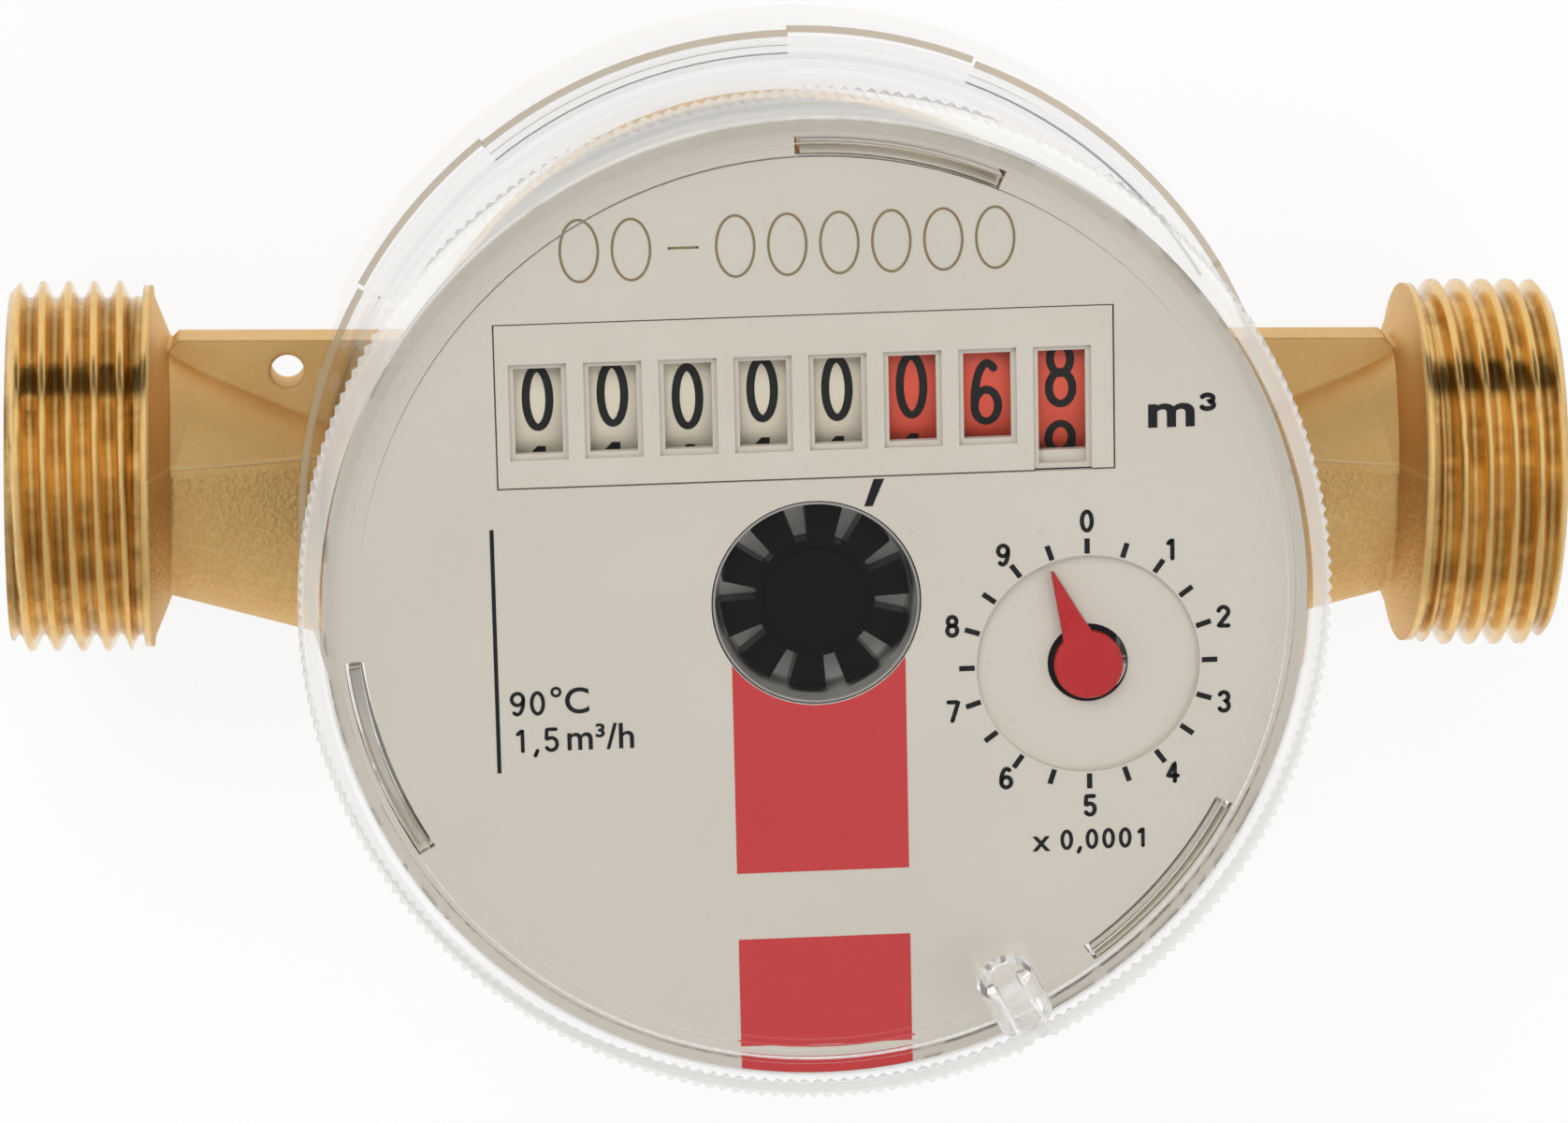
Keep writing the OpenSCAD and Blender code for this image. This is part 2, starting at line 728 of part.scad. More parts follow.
// White dial with its openings
module dial_plate() {
    color([0.93, 0.9, 0.84]) on_register() translate([0, 0, dial_z]) difference() {
        cylinder(r = dial_r, h = dial_t);
        translate([0, 0, -past]) cylinder(r = star_hole_d / 2, h = dial_t + 2 * past);
        translate([pointer_pos[0], pointer_pos[1], dial_t - sub_dial_depth])
            cylinder(r = sub_dial_d / 2, h = sub_dial_depth + past);
        translate([pointer_pos[0], pointer_pos[1], -past])
            cylinder(r = pointer_hole_r, h = dial_t + 2 * past);
        translate([bezel_x - bezel_w / 2, bezel_y - bezel_h / 2, -past])
            cube([bezel_w, bezel_h, dial_t + 2 * past]);
        for (i = [0:2]) rotate([0, 0, dial_slot_angle + i * 120]) translate([0, 0, -past])
            ring_sector(dial_slot_out, dial_slot_in, dial_t + 2 * past,
                        -dial_slot_arc / 2, dial_slot_arc / 2);
    }
}

// Frame round the counter's windows, with a flange under the dial
module counter_bezel() {
    plate_w = bezel_w - 2 * seat_gap;
    plate_h = bezel_h - 2 * seat_gap;
    color([0.95, 0.93, 0.88]) on_register() translate([bezel_x, bezel_y, dial_z]) {
        difference() {
            translate([-plate_w / 2, -plate_h / 2, -eps]) cube([plate_w, plate_h, dial_t - bezel_sink]);
            for (i = [1:roller_count])
                translate([roller_x(i) - bezel_x, counter_y - bezel_y, 0]) counter_window(i == roller_count);
        }
        difference() {
            translate([-bezel_w / 2 - bezel_flange, -bezel_h / 2 - bezel_flange, -bezel_flange_t])
                cube([bezel_w + 2 * bezel_flange, bezel_h + 2 * bezel_flange, bezel_flange_t]);
            translate([-bezel_w / 2 + bezel_flange, -bezel_h / 2 + bezel_flange, -bezel_flange_t - past])
                cube([bezel_w - 2 * bezel_flange, bezel_h - 2 * bezel_flange, bezel_flange_t + 2 * past]);
        }
    }
}

// Opening over one roller, with a stepped edge
module counter_window(is_last) {
    low = slot_h / 2 + slot_drop + (is_last ? slot_extra : 0);
    high = slot_h / 2 - slot_drop;
    translate([-slot_w / 2, -low, -past]) cube([slot_w, low + high, dial_t + 2 * past]);
    translate([-slot_w / 2 - window_bevel, -low - window_bevel, dial_t - bezel_sink - window_bevel])
        cube([slot_w + 2 * window_bevel, low + high + 2 * window_bevel, window_bevel + past]);
}

// Grey dish round the star wheel
module star_bezel() {
    outer_r = star_hole_d / 2 - seat_gap;
    color([0.6, 0.6, 0.6]) on_register() difference() {
        translate([0, 0, train_plate_top]) cylinder(r = outer_r, h = dial_top - bezel_sink - train_plate_top);
        translate([0, 0, train_plate_top + star_floor_t])
            cylinder(r1 = star_r + star_gap, r2 = outer_r - star_lip,
                     h = dial_top - train_plate_top - star_floor_t);
        translate([0, 0, train_plate_top - past])
            cylinder(r = star_floor_hole_r, h = star_floor_t + 2 * past);
    }
}

// Soft iron ring round the driven magnet
module shield_ring() {
    color([0.45, 0.46, 0.48]) on_register() translate([0, 0, base_floor])
        tube(shield_in + shield_wall, shield_in, shield_h);
}

// One bearing ear of the register frame, its near edge at y = near
module frame_ear(x, near) {
    translate([x, 0, 0]) rotate([90, 0, 90]) linear_extrude(ear_t)
        polygon([[near, train_plate_top], [near, roller_z - arm_drop],
                 [counter_y - arm_root, roller_z - ear_waist],
                 [counter_y - ear_half, roller_z - ear_waist - ear_step], [counter_y - ear_foot, base_floor],
                 [counter_y + ear_foot, base_floor], [counter_y + ear_half, roller_z - ear_waist],
                 [counter_y + ear_half, roller_z + ear_head], [counter_y - ear_half / 2, train_plate_top]]);
}

// Dark frame that carries the train and the counter
module register_frame() {
    span = 2 * (train_plate_r + past);
    hole_h = train_plate_t + 2 * past;
    drive_slot = train_module * drive_teeth + 2 * past;
    bracket_hole = right_ear_x + ear_t - bracket_x + 2 * past;
    color([0.25, 0.26, 0.28]) on_register() difference() {
        union() {
            intersection() {
                translate([0, 0, train_plate_z]) cylinder(r = train_plate_r, h = train_plate_t);
                translate([-train_plate_r - past, train_plate_edge - span, train_plate_z - past])
                    cube([span, span, train_plate_t + 2 * past]);
            }
            for (p = post_places)
                translate([p[0], p[1], base_floor]) cylinder(r = post_r, h = dial_z - base_floor);
            frame_ear(left_ear_x, train_plate_edge - arm_lap);
            frame_ear(right_ear_x, drive_y - arm_lap);
            translate([bracket_x, drive_y - bracket_half, roller_z - bracket_half])
                cube([bracket_t, 2 * bracket_half, train_plate_z - roller_z + bracket_half + lap]);
        }
        translate([drive_x - drive_gap, drive_y - drive_slot / 2, train_plate_z - past])
            cube([drive_t + 2 * drive_gap, drive_slot, hole_h]);
        for (p = [[0, 0], pointer_pos])
            translate([p[0], p[1], train_plate_z - past]) cylinder(r = arbor_r + running_gap, h = hole_h);
        for (p = [first_pos, second_pos])
            translate([p[0], p[1], train_plate_z - past]) cylinder(r = arbor_r + fixed_gap, h = hole_h);
        translate([left_ear_x - past, counter_y, roller_z]) along_x()
            cylinder(r = roller_shaft_d / 2 + fixed_gap, h = span);
        translate([left_ear_x - past, counter_y, pinion_z]) along_x()
            cylinder(r = pinion_shaft_d / 2 + fixed_gap, h = span);
        translate([bracket_x - past, drive_y, roller_z]) along_x()
            cylinder(r = arbor_r + running_gap, h = bracket_hole);
    }
}

// Steel shaft through the number rollers
module roller_shaft() {
    color("silver") on_register() translate([left_ear_x - shaft_end, counter_y, roller_z]) along_x()
        cylinder(r = roller_shaft_d / 2, h = right_ear_x + ear_t - left_ear_x + 2 * shaft_end);
}

// Steel shaft through the transfer pinions
module pinion_shaft() {
    color("silver") on_register() translate([left_ear_x - shaft_end, counter_y, pinion_z]) along_x()
        cylinder(r = pinion_shaft_d / 2, h = right_ear_x + ear_t - left_ear_x + 2 * shaft_end);
}

// Fixed steel arbor between the base and the train plate
module fixed_arbor(p) {
    color("silver") on_register() translate([p[0], p[1], arbor_foot + seat_gap])
        cylinder(r = arbor_r, h = train_plate_top - arbor_foot - 2 * seat_gap);
}

module first_arbor() {
    fixed_arbor(first_pos);
}

module second_arbor() {
    fixed_arbor(second_pos);
}

// Shaft of the driven magnet and the star wheel, with the first pinion
module star_shaft() {
    color([0.2, 0.2, 0.2]) on_register() {
        translate([0, 0, arbor_foot + seat_gap])
            cylinder(r = arbor_r, h = star_z + star_t - arbor_foot - seat_gap);
        translate([0, 0, first_wheel_z - mesh_overhang])
            gear(star_teeth, train_module, wheel_t + 2 * mesh_overhang, first_angle);
    }
}

// Magnet that follows the impeller magnet through the plates
module driven_magnet() {
    color([0.2, 0.2, 0.22]) on_register() translate([0, 0, driven_z])
        tube(driven_r, arbor_r + fixed_gap, driven_h);
}

// Black star wheel that shows small flows: a disc with radial slots and a raised hub
module star_wheel() {
    color([0.05, 0.05, 0.05]) on_register() translate([0, 0, star_z]) difference() {
        union() {
            cylinder(r = star_r, h = star_t);
            cylinder(r = star_hub_r, h = star_t + star_hub_rise);
        }
        for (i = [0:star_points - 1]) rotate([0, 0, (i + 0.5) * 360 / star_points + star_turn]) {
            translate([0, 0, -past]) linear_extrude(star_t + 2 * past)
                polygon([[star_slot_in, -star_slot_root / 2], [star_r + past, -star_slot_w / 2],
                         [star_r + past, star_slot_w / 2], [star_slot_in, star_slot_root / 2]]);
        }
        translate([0, 0, -past]) cylinder(r = arbor_r + fixed_gap, h = star_t + past);
    }
}

// Wheel and pinion that turn on a fixed arbor
module train_wheel(p, teeth, wheel_z, wheel_phase, pinion_z0, pinion_h, pinion_phase) {
    low = min(wheel_z, pinion_z0);
    high = max(wheel_z + wheel_t, pinion_z0 + pinion_h);
    color([0.95, 0.95, 0.92]) on_register() translate([p[0], p[1], 0]) difference() {
        union() {
            translate([0, 0, wheel_z]) gear(teeth, train_module, wheel_t, wheel_phase);
            translate([0, 0, pinion_z0]) gear(small_teeth, train_module, pinion_h, pinion_phase);
            translate([0, 0, low]) cylinder(r = arbor_boss_r, h = high - low);
        }
        translate([0, 0, low - past]) cylinder(r = arbor_r + running_gap, h = high - low + 2 * past);
    }
}

// First wheel, driven by the star shaft
module first_wheel() {
    train_wheel(first_pos, first_teeth, first_wheel_z, gap_phase(first_teeth, first_angle + 180),
                second_wheel_z - mesh_overhang, first_wheel_z - second_wheel_z + mesh_overhang, second_angle);
}

// Second wheel, driven by the first one's pinion
module second_wheel() {
    train_wheel(second_pos, second_teeth, second_wheel_z, gap_phase(second_teeth, second_angle + 180),
                pointer_wheel_z - mesh_overhang, second_wheel_z - pointer_wheel_z + mesh_overhang,
                third_angle);
}

// Left-hand worm whose root faces +Y at mid height
module worm() {
    twist = 360 * worm_length / worm_pitch;
    shift = (worm_r - worm_root) / 2;
    rotate([0, 0, twist / 2 - 90]) translate([0, 0, -worm_length / 2])
        linear_extrude(worm_length, twist = twist, slices = 48, $fn = 20)
            translate([shift, 0]) circle(r = (worm_r + worm_root) / 2, $fn = 20);
}

// Arbor of the pointer, with its wheel and the worm that drives the counter
module pointer_arbor() {
    top = pointer_z + pointer_cap;
    color([0.9, 0.9, 0.88]) on_register() translate([pointer_pos[0], pointer_pos[1], 0]) {
        translate([0, 0, arbor_foot + seat_gap]) cylinder(r = arbor_r, h = top - arbor_foot - seat_gap);
        translate([0, 0, pointer_wheel_z])
            gear(pointer_teeth, train_module, wheel_t, gap_phase(pointer_teeth, third_angle + 180));
        translate([0, 0, roller_z]) worm();
    }
}

// Red pointer with a round hub
module pointer() {
    hub = 2.3;
    tip = 0.2;
    flank = 75;
    root = (hub - lap / 2) * [cos(flank), sin(flank)];
    color([0.85, 0.1, 0.12]) on_register() translate([pointer_pos[0], pointer_pos[1], pointer_z])
        rotate([0, 0, pointer_angle]) difference() {
            union() {
                cylinder(r = hub, h = pointer_t);
                linear_extrude(pointer_t)
                    polygon([[root[0], -root[1]], [pointer_length, -tip], [pointer_length, tip], root]);
            }
            translate([0, 0, -past]) cylinder(r = arbor_r + fixed_gap, h = past + pointer_cap + fixed_gap);
        }
}

// Cross shaft with the worm wheel and the gear that drives the last roller
module counter_drive() {
    start = bracket_x - shaft_end;
    teeth = [for (i = [0:worm_wheel_teeth - 1], k = [0:3])
        let (r = worm_wheel_r + (k == 1 || k == 2 ? worm_tooth : -worm_tooth - seat_gap),
             a = -90 + (i + [-0.2, -0.07, 0.07, 0.2][k]) * 360 / worm_wheel_teeth) r * [cos(a), sin(a)]];
    color([0.9, 0.88, 0.8]) on_register() translate([0, drive_y, roller_z]) {
        translate([start, 0, 0]) along_x() cylinder(r = arbor_r, h = right_ear_x + ear_t + shaft_end - start);
        translate([pointer_x - worm_wheel_w / 2, 0, 0]) along_x() linear_extrude(worm_wheel_w) polygon(teeth);
        translate([drive_x, 0, 0]) along_x() gear(drive_teeth, train_module, drive_t, 90);
    }
}

// Number roller i: a drum with its carry disc on the left and its driven gear on the right
module number_roller(i) {
    rim = 1.3;
    web = 1;
    hub = 2.7;
    color(i > 5 ? [0.85, 0.2, 0.17] : [0.93, 0.9, 0.82]) on_register()
        translate([roller_x(i), counter_y, roller_z]) along_x() difference() {
            union() {
                translate([0, 0, -roller_w / 2]) tube(roller_r, roller_r - rim, roller_w);
                translate([0, 0, -web / 2]) cylinder(r = roller_r - rim / 2, h = web);
                translate([0, 0, -roller_w / 2]) cylinder(r = hub, h = roller_w);
                if (i > 1) translate([0, 0, -roller_w / 2 - carry_disc_t]) carry_disc();
                if (i < roller_count) translate([0, 0, roller_w / 2 - lap])
                    gear(carry_teeth, carry_module, carry_t + lap, 0);
                if (i < roller_count)
                    cylinder(r = carry_module * (carry_teeth / 2 - tooth_sink) - lap, h = roller_w / 2);
                if (i == roller_count) {
                    cylinder(r = hub, h = drive_x - roller_x(i) + lap);
                    translate([0, 0, drive_x - roller_x(i)])
                        gear(drive_teeth, train_module, drive_t, gap_phase(drive_teeth, -90));
                }
            }
            translate([0, 0, -2 * roller_w]) cylinder(r = roller_shaft_d / 2 + running_gap, h = 6 * roller_w);
        }
}

// Disc with the two teeth that carry to the next roller
module carry_disc() {
    rim_inset = 2;
    rim_r = carry_module * carry_teeth / 2 - rim_inset;
    tooth_w = 0.8;
    tooth_h = 1;
    spread = 180 / carry_teeth;
    cylinder(r = rim_r, h = carry_disc_t + lap);
    for (turn = [-spread, spread]) rotate([0, 0, 180 + turn])
        translate([0, -tooth_w / 2, 0]) cube([rim_r + tooth_h, tooth_w, carry_disc_t + lap]);
}

// Transfer pinion between roller i and the next one
module transfer_pinion(i) {
    start = roller_w / 2 + seat_gap;
    hub = 1.5;
    color([0.25, 0.25, 0.27]) on_register() translate([roller_x(i) + start, counter_y, pinion_z]) along_x()
        difference() {
            union() {
                gear(pinion_teeth, carry_module, carry_t - seat_gap, gap_phase(pinion_teeth, 180));
                cylinder(r = hub, h = flank_gap - 2 * seat_gap);
            }
            translate([0, 0, -past]) cylinder(r = pinion_shaft_d / 2 + running_gap, h = flank_gap + 2 * past);
        }
}

body();
inlet_strainer();
impeller_pivot();
pressure_plate();
seal_ring();
clamp_ring();
collar_ring();
impeller();
impeller_magnet();
register_base();
clear_cover();
dial_plate();
counter_bezel();
star_bezel();
shield_ring();
register_frame();
roller_shaft();
pinion_shaft();
first_arbor();
second_arbor();
star_shaft();
driven_magnet();
star_wheel();
first_wheel();
second_wheel();
pointer_arbor();
pointer();
counter_drive();
for (i = [1:8]) number_roller(i);
for (i = [1:7]) transfer_pinion(i);
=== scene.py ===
"""Looks of a household water meter: brass body, clear collar and cover, printed dial, number rollers."""

import math

import bmesh
import bpy
from mathutils import Matrix, Vector, noise


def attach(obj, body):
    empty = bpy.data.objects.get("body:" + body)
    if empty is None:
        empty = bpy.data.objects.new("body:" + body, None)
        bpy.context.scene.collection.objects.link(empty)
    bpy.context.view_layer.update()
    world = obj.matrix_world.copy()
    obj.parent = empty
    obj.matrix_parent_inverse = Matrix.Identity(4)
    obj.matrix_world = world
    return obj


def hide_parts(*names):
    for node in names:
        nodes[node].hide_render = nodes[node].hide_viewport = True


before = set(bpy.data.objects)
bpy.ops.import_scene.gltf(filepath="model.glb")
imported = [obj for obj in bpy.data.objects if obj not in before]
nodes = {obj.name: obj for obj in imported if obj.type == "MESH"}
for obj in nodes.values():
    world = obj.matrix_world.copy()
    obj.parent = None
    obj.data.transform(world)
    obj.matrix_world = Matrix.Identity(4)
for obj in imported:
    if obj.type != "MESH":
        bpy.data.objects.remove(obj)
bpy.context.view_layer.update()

# Sizes that repeat the part's own, in millimetres and degrees
MM = 0.001
PIPE_Z = 16.0
END_X = 55.0
THREAD_X = 46.0
THREAD_R = 13.22
END_CHAMFER = 0.8
NECK_ANGLE = 19.0
NECK_START = 44.5
NECK_R = 8.75
CHANNEL_START = 47.0
CHANNEL_R = 6.6
REGISTER_TURN = 1.9
DIAL_TOP = 54.46
GRIP_LOW = 52.46
WINDOW_TOP = 56.56
COLLAR_TOP = 32.1
POINTER_AT = (18.1, -4.9)
POINTER_TURN = 110.0
ROLLER_X = -0.75
ROLLER_Y = 13.9
ROLLER_Z = 44.56
ROLLER_R = 8.7
ROLLER_PITCH = 4.95
ROLLER_COUNT = 8
FIRST_RED_ROLLER = 6
FIGURES = 10

# Figure at the top of each roller, in figures and parts of a figure
ROLLER_READING = (0.08, 0.1, 0.03, 0.09, 0.07, 0.07, 5.95, 8.15)

# Forms that the looks add to the solids, in millimetres, degrees and shares
THREAD_ROOT = 12.06
THREAD_PITCH = 1.814
THREAD_FLAT = 0.14
THREAD_ROUNDING = 0.55
SLEEVE_WALL = 0.3
CORE_SINK = 0.15
RUN_OUT_STEP = 0.05
RUN_OUT_SLOPE = 2.2
DENT_LEVEL = 0.25
DENT_DEPTH = 0.22
ROOT_BACK = 45.3
ROOT_FRONT = 41.0
ROOT_SKIN = 0.05
ROOT_TAPER = 0.16
CUT_MARGIN = 2.0
WELD = 0.001
SHARP_ANGLE = 32.0
EDGE_R = 0.5
PRINT_LIFT = 0.02
ROLLER_PRINT_LIFT = 0.015
LETTER_PEN = 0.25
LETTER_BOLD = 0.03

# Places where a look begins on the solids, in millimetres, and the seam's slope
TURNED_END_X = 44.9
TURNED_TOP_Z = 22.2
TURNED_TOP_R = 31.6
SEAM_X = 46.0
SEAM_Y = 1.8
SEAM_SLOPE = 0.02
LEG_R = 31.85
WINDOW_EDGE_R = 32.4
COVER_WALL_R = 32.9
COLLAR_RIM_R = 33.95
COLLAR_RIM_H = 2.1
DISH_WALL_R = 6.1


class Value:
    """A socket in a node tree, with arithmetic that adds Math nodes."""

    def __init__(self, paint, socket):
        self.paint = paint
        self.socket = socket

    def math(self, operation, a, b):
        return self.paint.node("ShaderNodeMath", {"operation": operation}, {0: a, 1: b})

    def __add__(self, other):
        return self.math("ADD", self, other)

    def __radd__(self, other):
        return self.math("ADD", other, self)

    def __sub__(self, other):
        return self.math("SUBTRACT", self, other)

    def __rsub__(self, other):
        return self.math("SUBTRACT", other, self)

    def __mul__(self, other):
        return self.math("MULTIPLY", self, other)

    def __rmul__(self, other):
        return self.math("MULTIPLY", other, self)

    def __truediv__(self, other):
        return self.math("DIVIDE", self, other)

    def __rtruediv__(self, other):
        return self.math("DIVIDE", other, self)

    def __abs__(self):
        return self.math("ABSOLUTE", self, 0.0)


class Paint:
    """A node tree that is filled by expressions: of a new material, or of the world."""

    def __init__(self, name, tree=None):
        self.material = None
        if tree is None:
            self.material = bpy.data.materials.new(name)
            self.material.use_nodes = True
            tree = self.material.node_tree
        self.tree = tree
        self.tree.nodes.clear()
        self.place = None

    def node(self, kind, settings=None, inputs=None, out=0):
        """Any node: its settings first, then the values or links of its sockets."""
        made = self.tree.nodes.new(kind)
        for key, value in (settings or {}).items():
            if key == "stops":
                for _ in range(len(value) - 2):
                    made.color_ramp.elements.new(0.5)
                for element, (position, colour) in zip(made.color_ramp.elements, value):
                    element.position = position
                    element.color = (*colour, 1.0)
            else:
                setattr(made, key, value)
        for key, value in (inputs or {}).items():
            if isinstance(value, Value):
                self.tree.links.new(value.socket, made.inputs[key])
            else:
                made.inputs[key].default_value = value
        return Value(self, made.outputs[out]) if made.outputs else None

    def where(self):
        """The place on the piece in its own frame, in metres, as a vector."""
        if self.place is None:
            self.place = self.node("ShaderNodeTexCoord", out=3)
        return self.place

    def vector(self, operation, first, second=(0.0, 0.0, 0.0), out=0):
        """Vector maths; out is 1 where the result is a number."""
        return self.node("ShaderNodeVectorMath", {"operation": operation}, {0: first, 1: second}, out=out)

    def part(self, vector, index):
        """One of the three numbers of a vector."""
        return self.node("ShaderNodeSeparateXYZ", None, {0: vector}, out=index)

    def axis(self, index):
        """The place along one axis, in metres."""
        return self.part(self.where(), index)

    def stretched(self, x, y, z):
        return self.vector("MULTIPLY", self.where(), (x, y, z))

    def from_axis(self):
        """Distance from the axis of the dial, in metres."""
        return self.vector("LENGTH", self.stretched(1.0, 1.0, 0.0), out=1)

    def grain(self, scale, detail=3.0, rough=0.55, vector=None):
        """Noise from 0 to 1 whose features are about 1/scale metres wide."""
        return self.node(
            "ShaderNodeTexNoise",
            None,
            {"Vector": vector or self.where(), "Scale": scale, "Detail": detail, "Roughness": rough},
        )

    def ramp(self, value, low, high):
        """0 below low, 1 above high, smooth between."""
        return self.node(
            "ShaderNodeMapRange",
            {"interpolation_type": "SMOOTHSTEP"},
            {0: value, 1: low, 2: high, 3: 0.0, 4: 1.0},
        )

    def ramp_mm(self, value, low, width):
        """0 below a limit in millimetres, and 1 from a width above it."""
        return self.ramp(value, low * MM, (low + width) * MM)

    def mix(self, mask, first, second):
        """Colour that goes from first to second as the mask goes from 0 to 1."""
        sockets = {0: mask}
        for index, colour in ((6, first), (7, second)):
            sockets[index] = colour if isinstance(colour, Value) else (*colour, 1.0)
        return self.node("ShaderNodeMix", {"data_type": "RGBA"}, sockets, out=2)

    def bump(self, height, distance, strength, normal=None):
        sockets = {"Strength": strength, "Distance": distance, "Height": height}
        if normal:
            sockets["Normal"] = normal
        return self.node("ShaderNodeBump", None, sockets)

    def light_path(self, name):
        """One of the light path's values, such as whether the ray is a shadow ray."""
        return self.node("ShaderNodeLightPath", out=name)

    def clamped_sum(self, first, second):
        return self.node("ShaderNodeMath", {"operation": "ADD", "use_clamp": True}, {0: first, 1: second})

    def surface(self, **sockets):
        """Principled surface from sockets named with underscores."""
        inputs = {}
        for key, value in sockets.items():
            if key == "Base_Color" and not isinstance(value, Value):
                value = (*value, 1.0)
            inputs[key.replace("_", " ")] = value
        return self.node("ShaderNodeBsdfPrincipled", None, inputs)

    def blend(self, share, first, second):
        """Surface that goes from first to second as the share goes from 0 to 1."""
        return self.node("ShaderNodeMixShader", None, {0: share, 1: first, 2: second})

    def output(self, surface):
        self.node("ShaderNodeOutputMaterial", None, {0: surface})
        return self.material

    def finish(self, **sockets):
        """The material, with one principled surface."""
        return self.output(self.surface(**sockets))


def srgb(red, green, blue):
    """Linear colour from 0 to 255 screen values."""
    out = []
    for c in (red, green, blue):
        c = c / 255
        out.append(c / 12.92 if c <= 0.04045 else ((c + 0.055) / 1.055) ** 2.4)
    return tuple(out)


# Materials


def brass_paint():
    """Brass: forged and grainy on the necks, turned and bright on the ends and the cup's top, with painted
    shade in the thread roots.
    """
    p = Paint("brass")
    x = abs(p.axis(0))
    y = p.axis(1)
    z = p.axis(2)
    ends = p.ramp_mm(x, TURNED_END_X, 0.4)
    top = p.ramp_mm(z, TURNED_TOP_Z, 0.3) * (1.0 - p.ramp_mm(p.from_axis(), TURNED_TOP_R, 0.2))
    turned = p.node("ShaderNodeMath", {"operation": "MAXIMUM"}, {0: ends, 1: top})
    forged = 1.0 - turned
    blotch = p.grain(260.0, 4.0, 0.6)
    sand = p.grain(2700.0, 3.0, 0.6)
    swirl = p.grain(1.0, 2.0, 0.6, p.stretched(14000.0, 260.0, 260.0))
    stain = p.ramp(p.grain(420.0, 5.0, 0.7), 0.5, 0.75)
    seam_y = (SEAM_X * MM - x) * SEAM_SLOPE + SEAM_Y * MM
    seam = 1.0 - p.ramp_mm(abs(y - seam_y), 0.04, 0.18)
    seam = seam * p.ramp_mm(z, PIPE_Z, 3.0) * forged
    below = p.ramp_mm(seam_y - y, 0.0, 0.8)
    neck = p.mix(blotch, srgb(232, 190, 122), srgb(244, 208, 146))
    neck = p.mix((1.0 - p.ramp(sand, 0.42, 0.62)) * (0.1 + below * 0.2), neck, srgb(206, 158, 90))
    neck = p.mix(seam * 0.35, neck, srgb(246, 222, 176))
    bright = p.mix(swirl, srgb(224, 180, 108), srgb(242, 206, 138))
    bright = p.mix(stain * 0.3, bright, srgb(172, 130, 80))
    spoke = p.vector("MULTIPLY", p.vector("SUBTRACT", p.where(), (0.0, 0.0, PIPE_Z * MM)), (0.0, 1.0, 1.0))
    from_pipe = p.vector("LENGTH", spoke, out=1)
    # Painted shade: the thread roots are painted darker, in blotches.
    root = ends * (1.0 - p.ramp_mm(from_pipe, THREAD_ROOT + 0.1, 0.7))
    root = root * p.ramp_mm(from_pipe, THREAD_ROOT - 0.1, 0.05)
    root_shade_blotch = p.ramp(p.grain(240.0, 4.0, 0.6), 0.4, 0.62)
    bright = p.mix(root * 0.6, bright, p.mix(root_shade_blotch, srgb(156, 118, 66), srgb(226, 190, 126)))
    roughness = turned * (0.09 + stain * 0.1 + swirl * 0.07) + forged * (0.5 + sand * 0.14)
    cast = (0.25 + below * 0.75) * (sand * 0.8 + blotch * 0.6)
    height = forged * cast + seam * 0.4 + turned * swirl * 0.22
    rounded = p.node("ShaderNodeBevel", {"samples": 4}, {"Radius": EDGE_R * MM})
    return p.finish(
        Base_Color=p.mix(turned, neck, bright),
        Metallic=1.0,
        Roughness=roughness,
        Normal=p.bump(height, 0.00016, 0.8, rounded),
    )


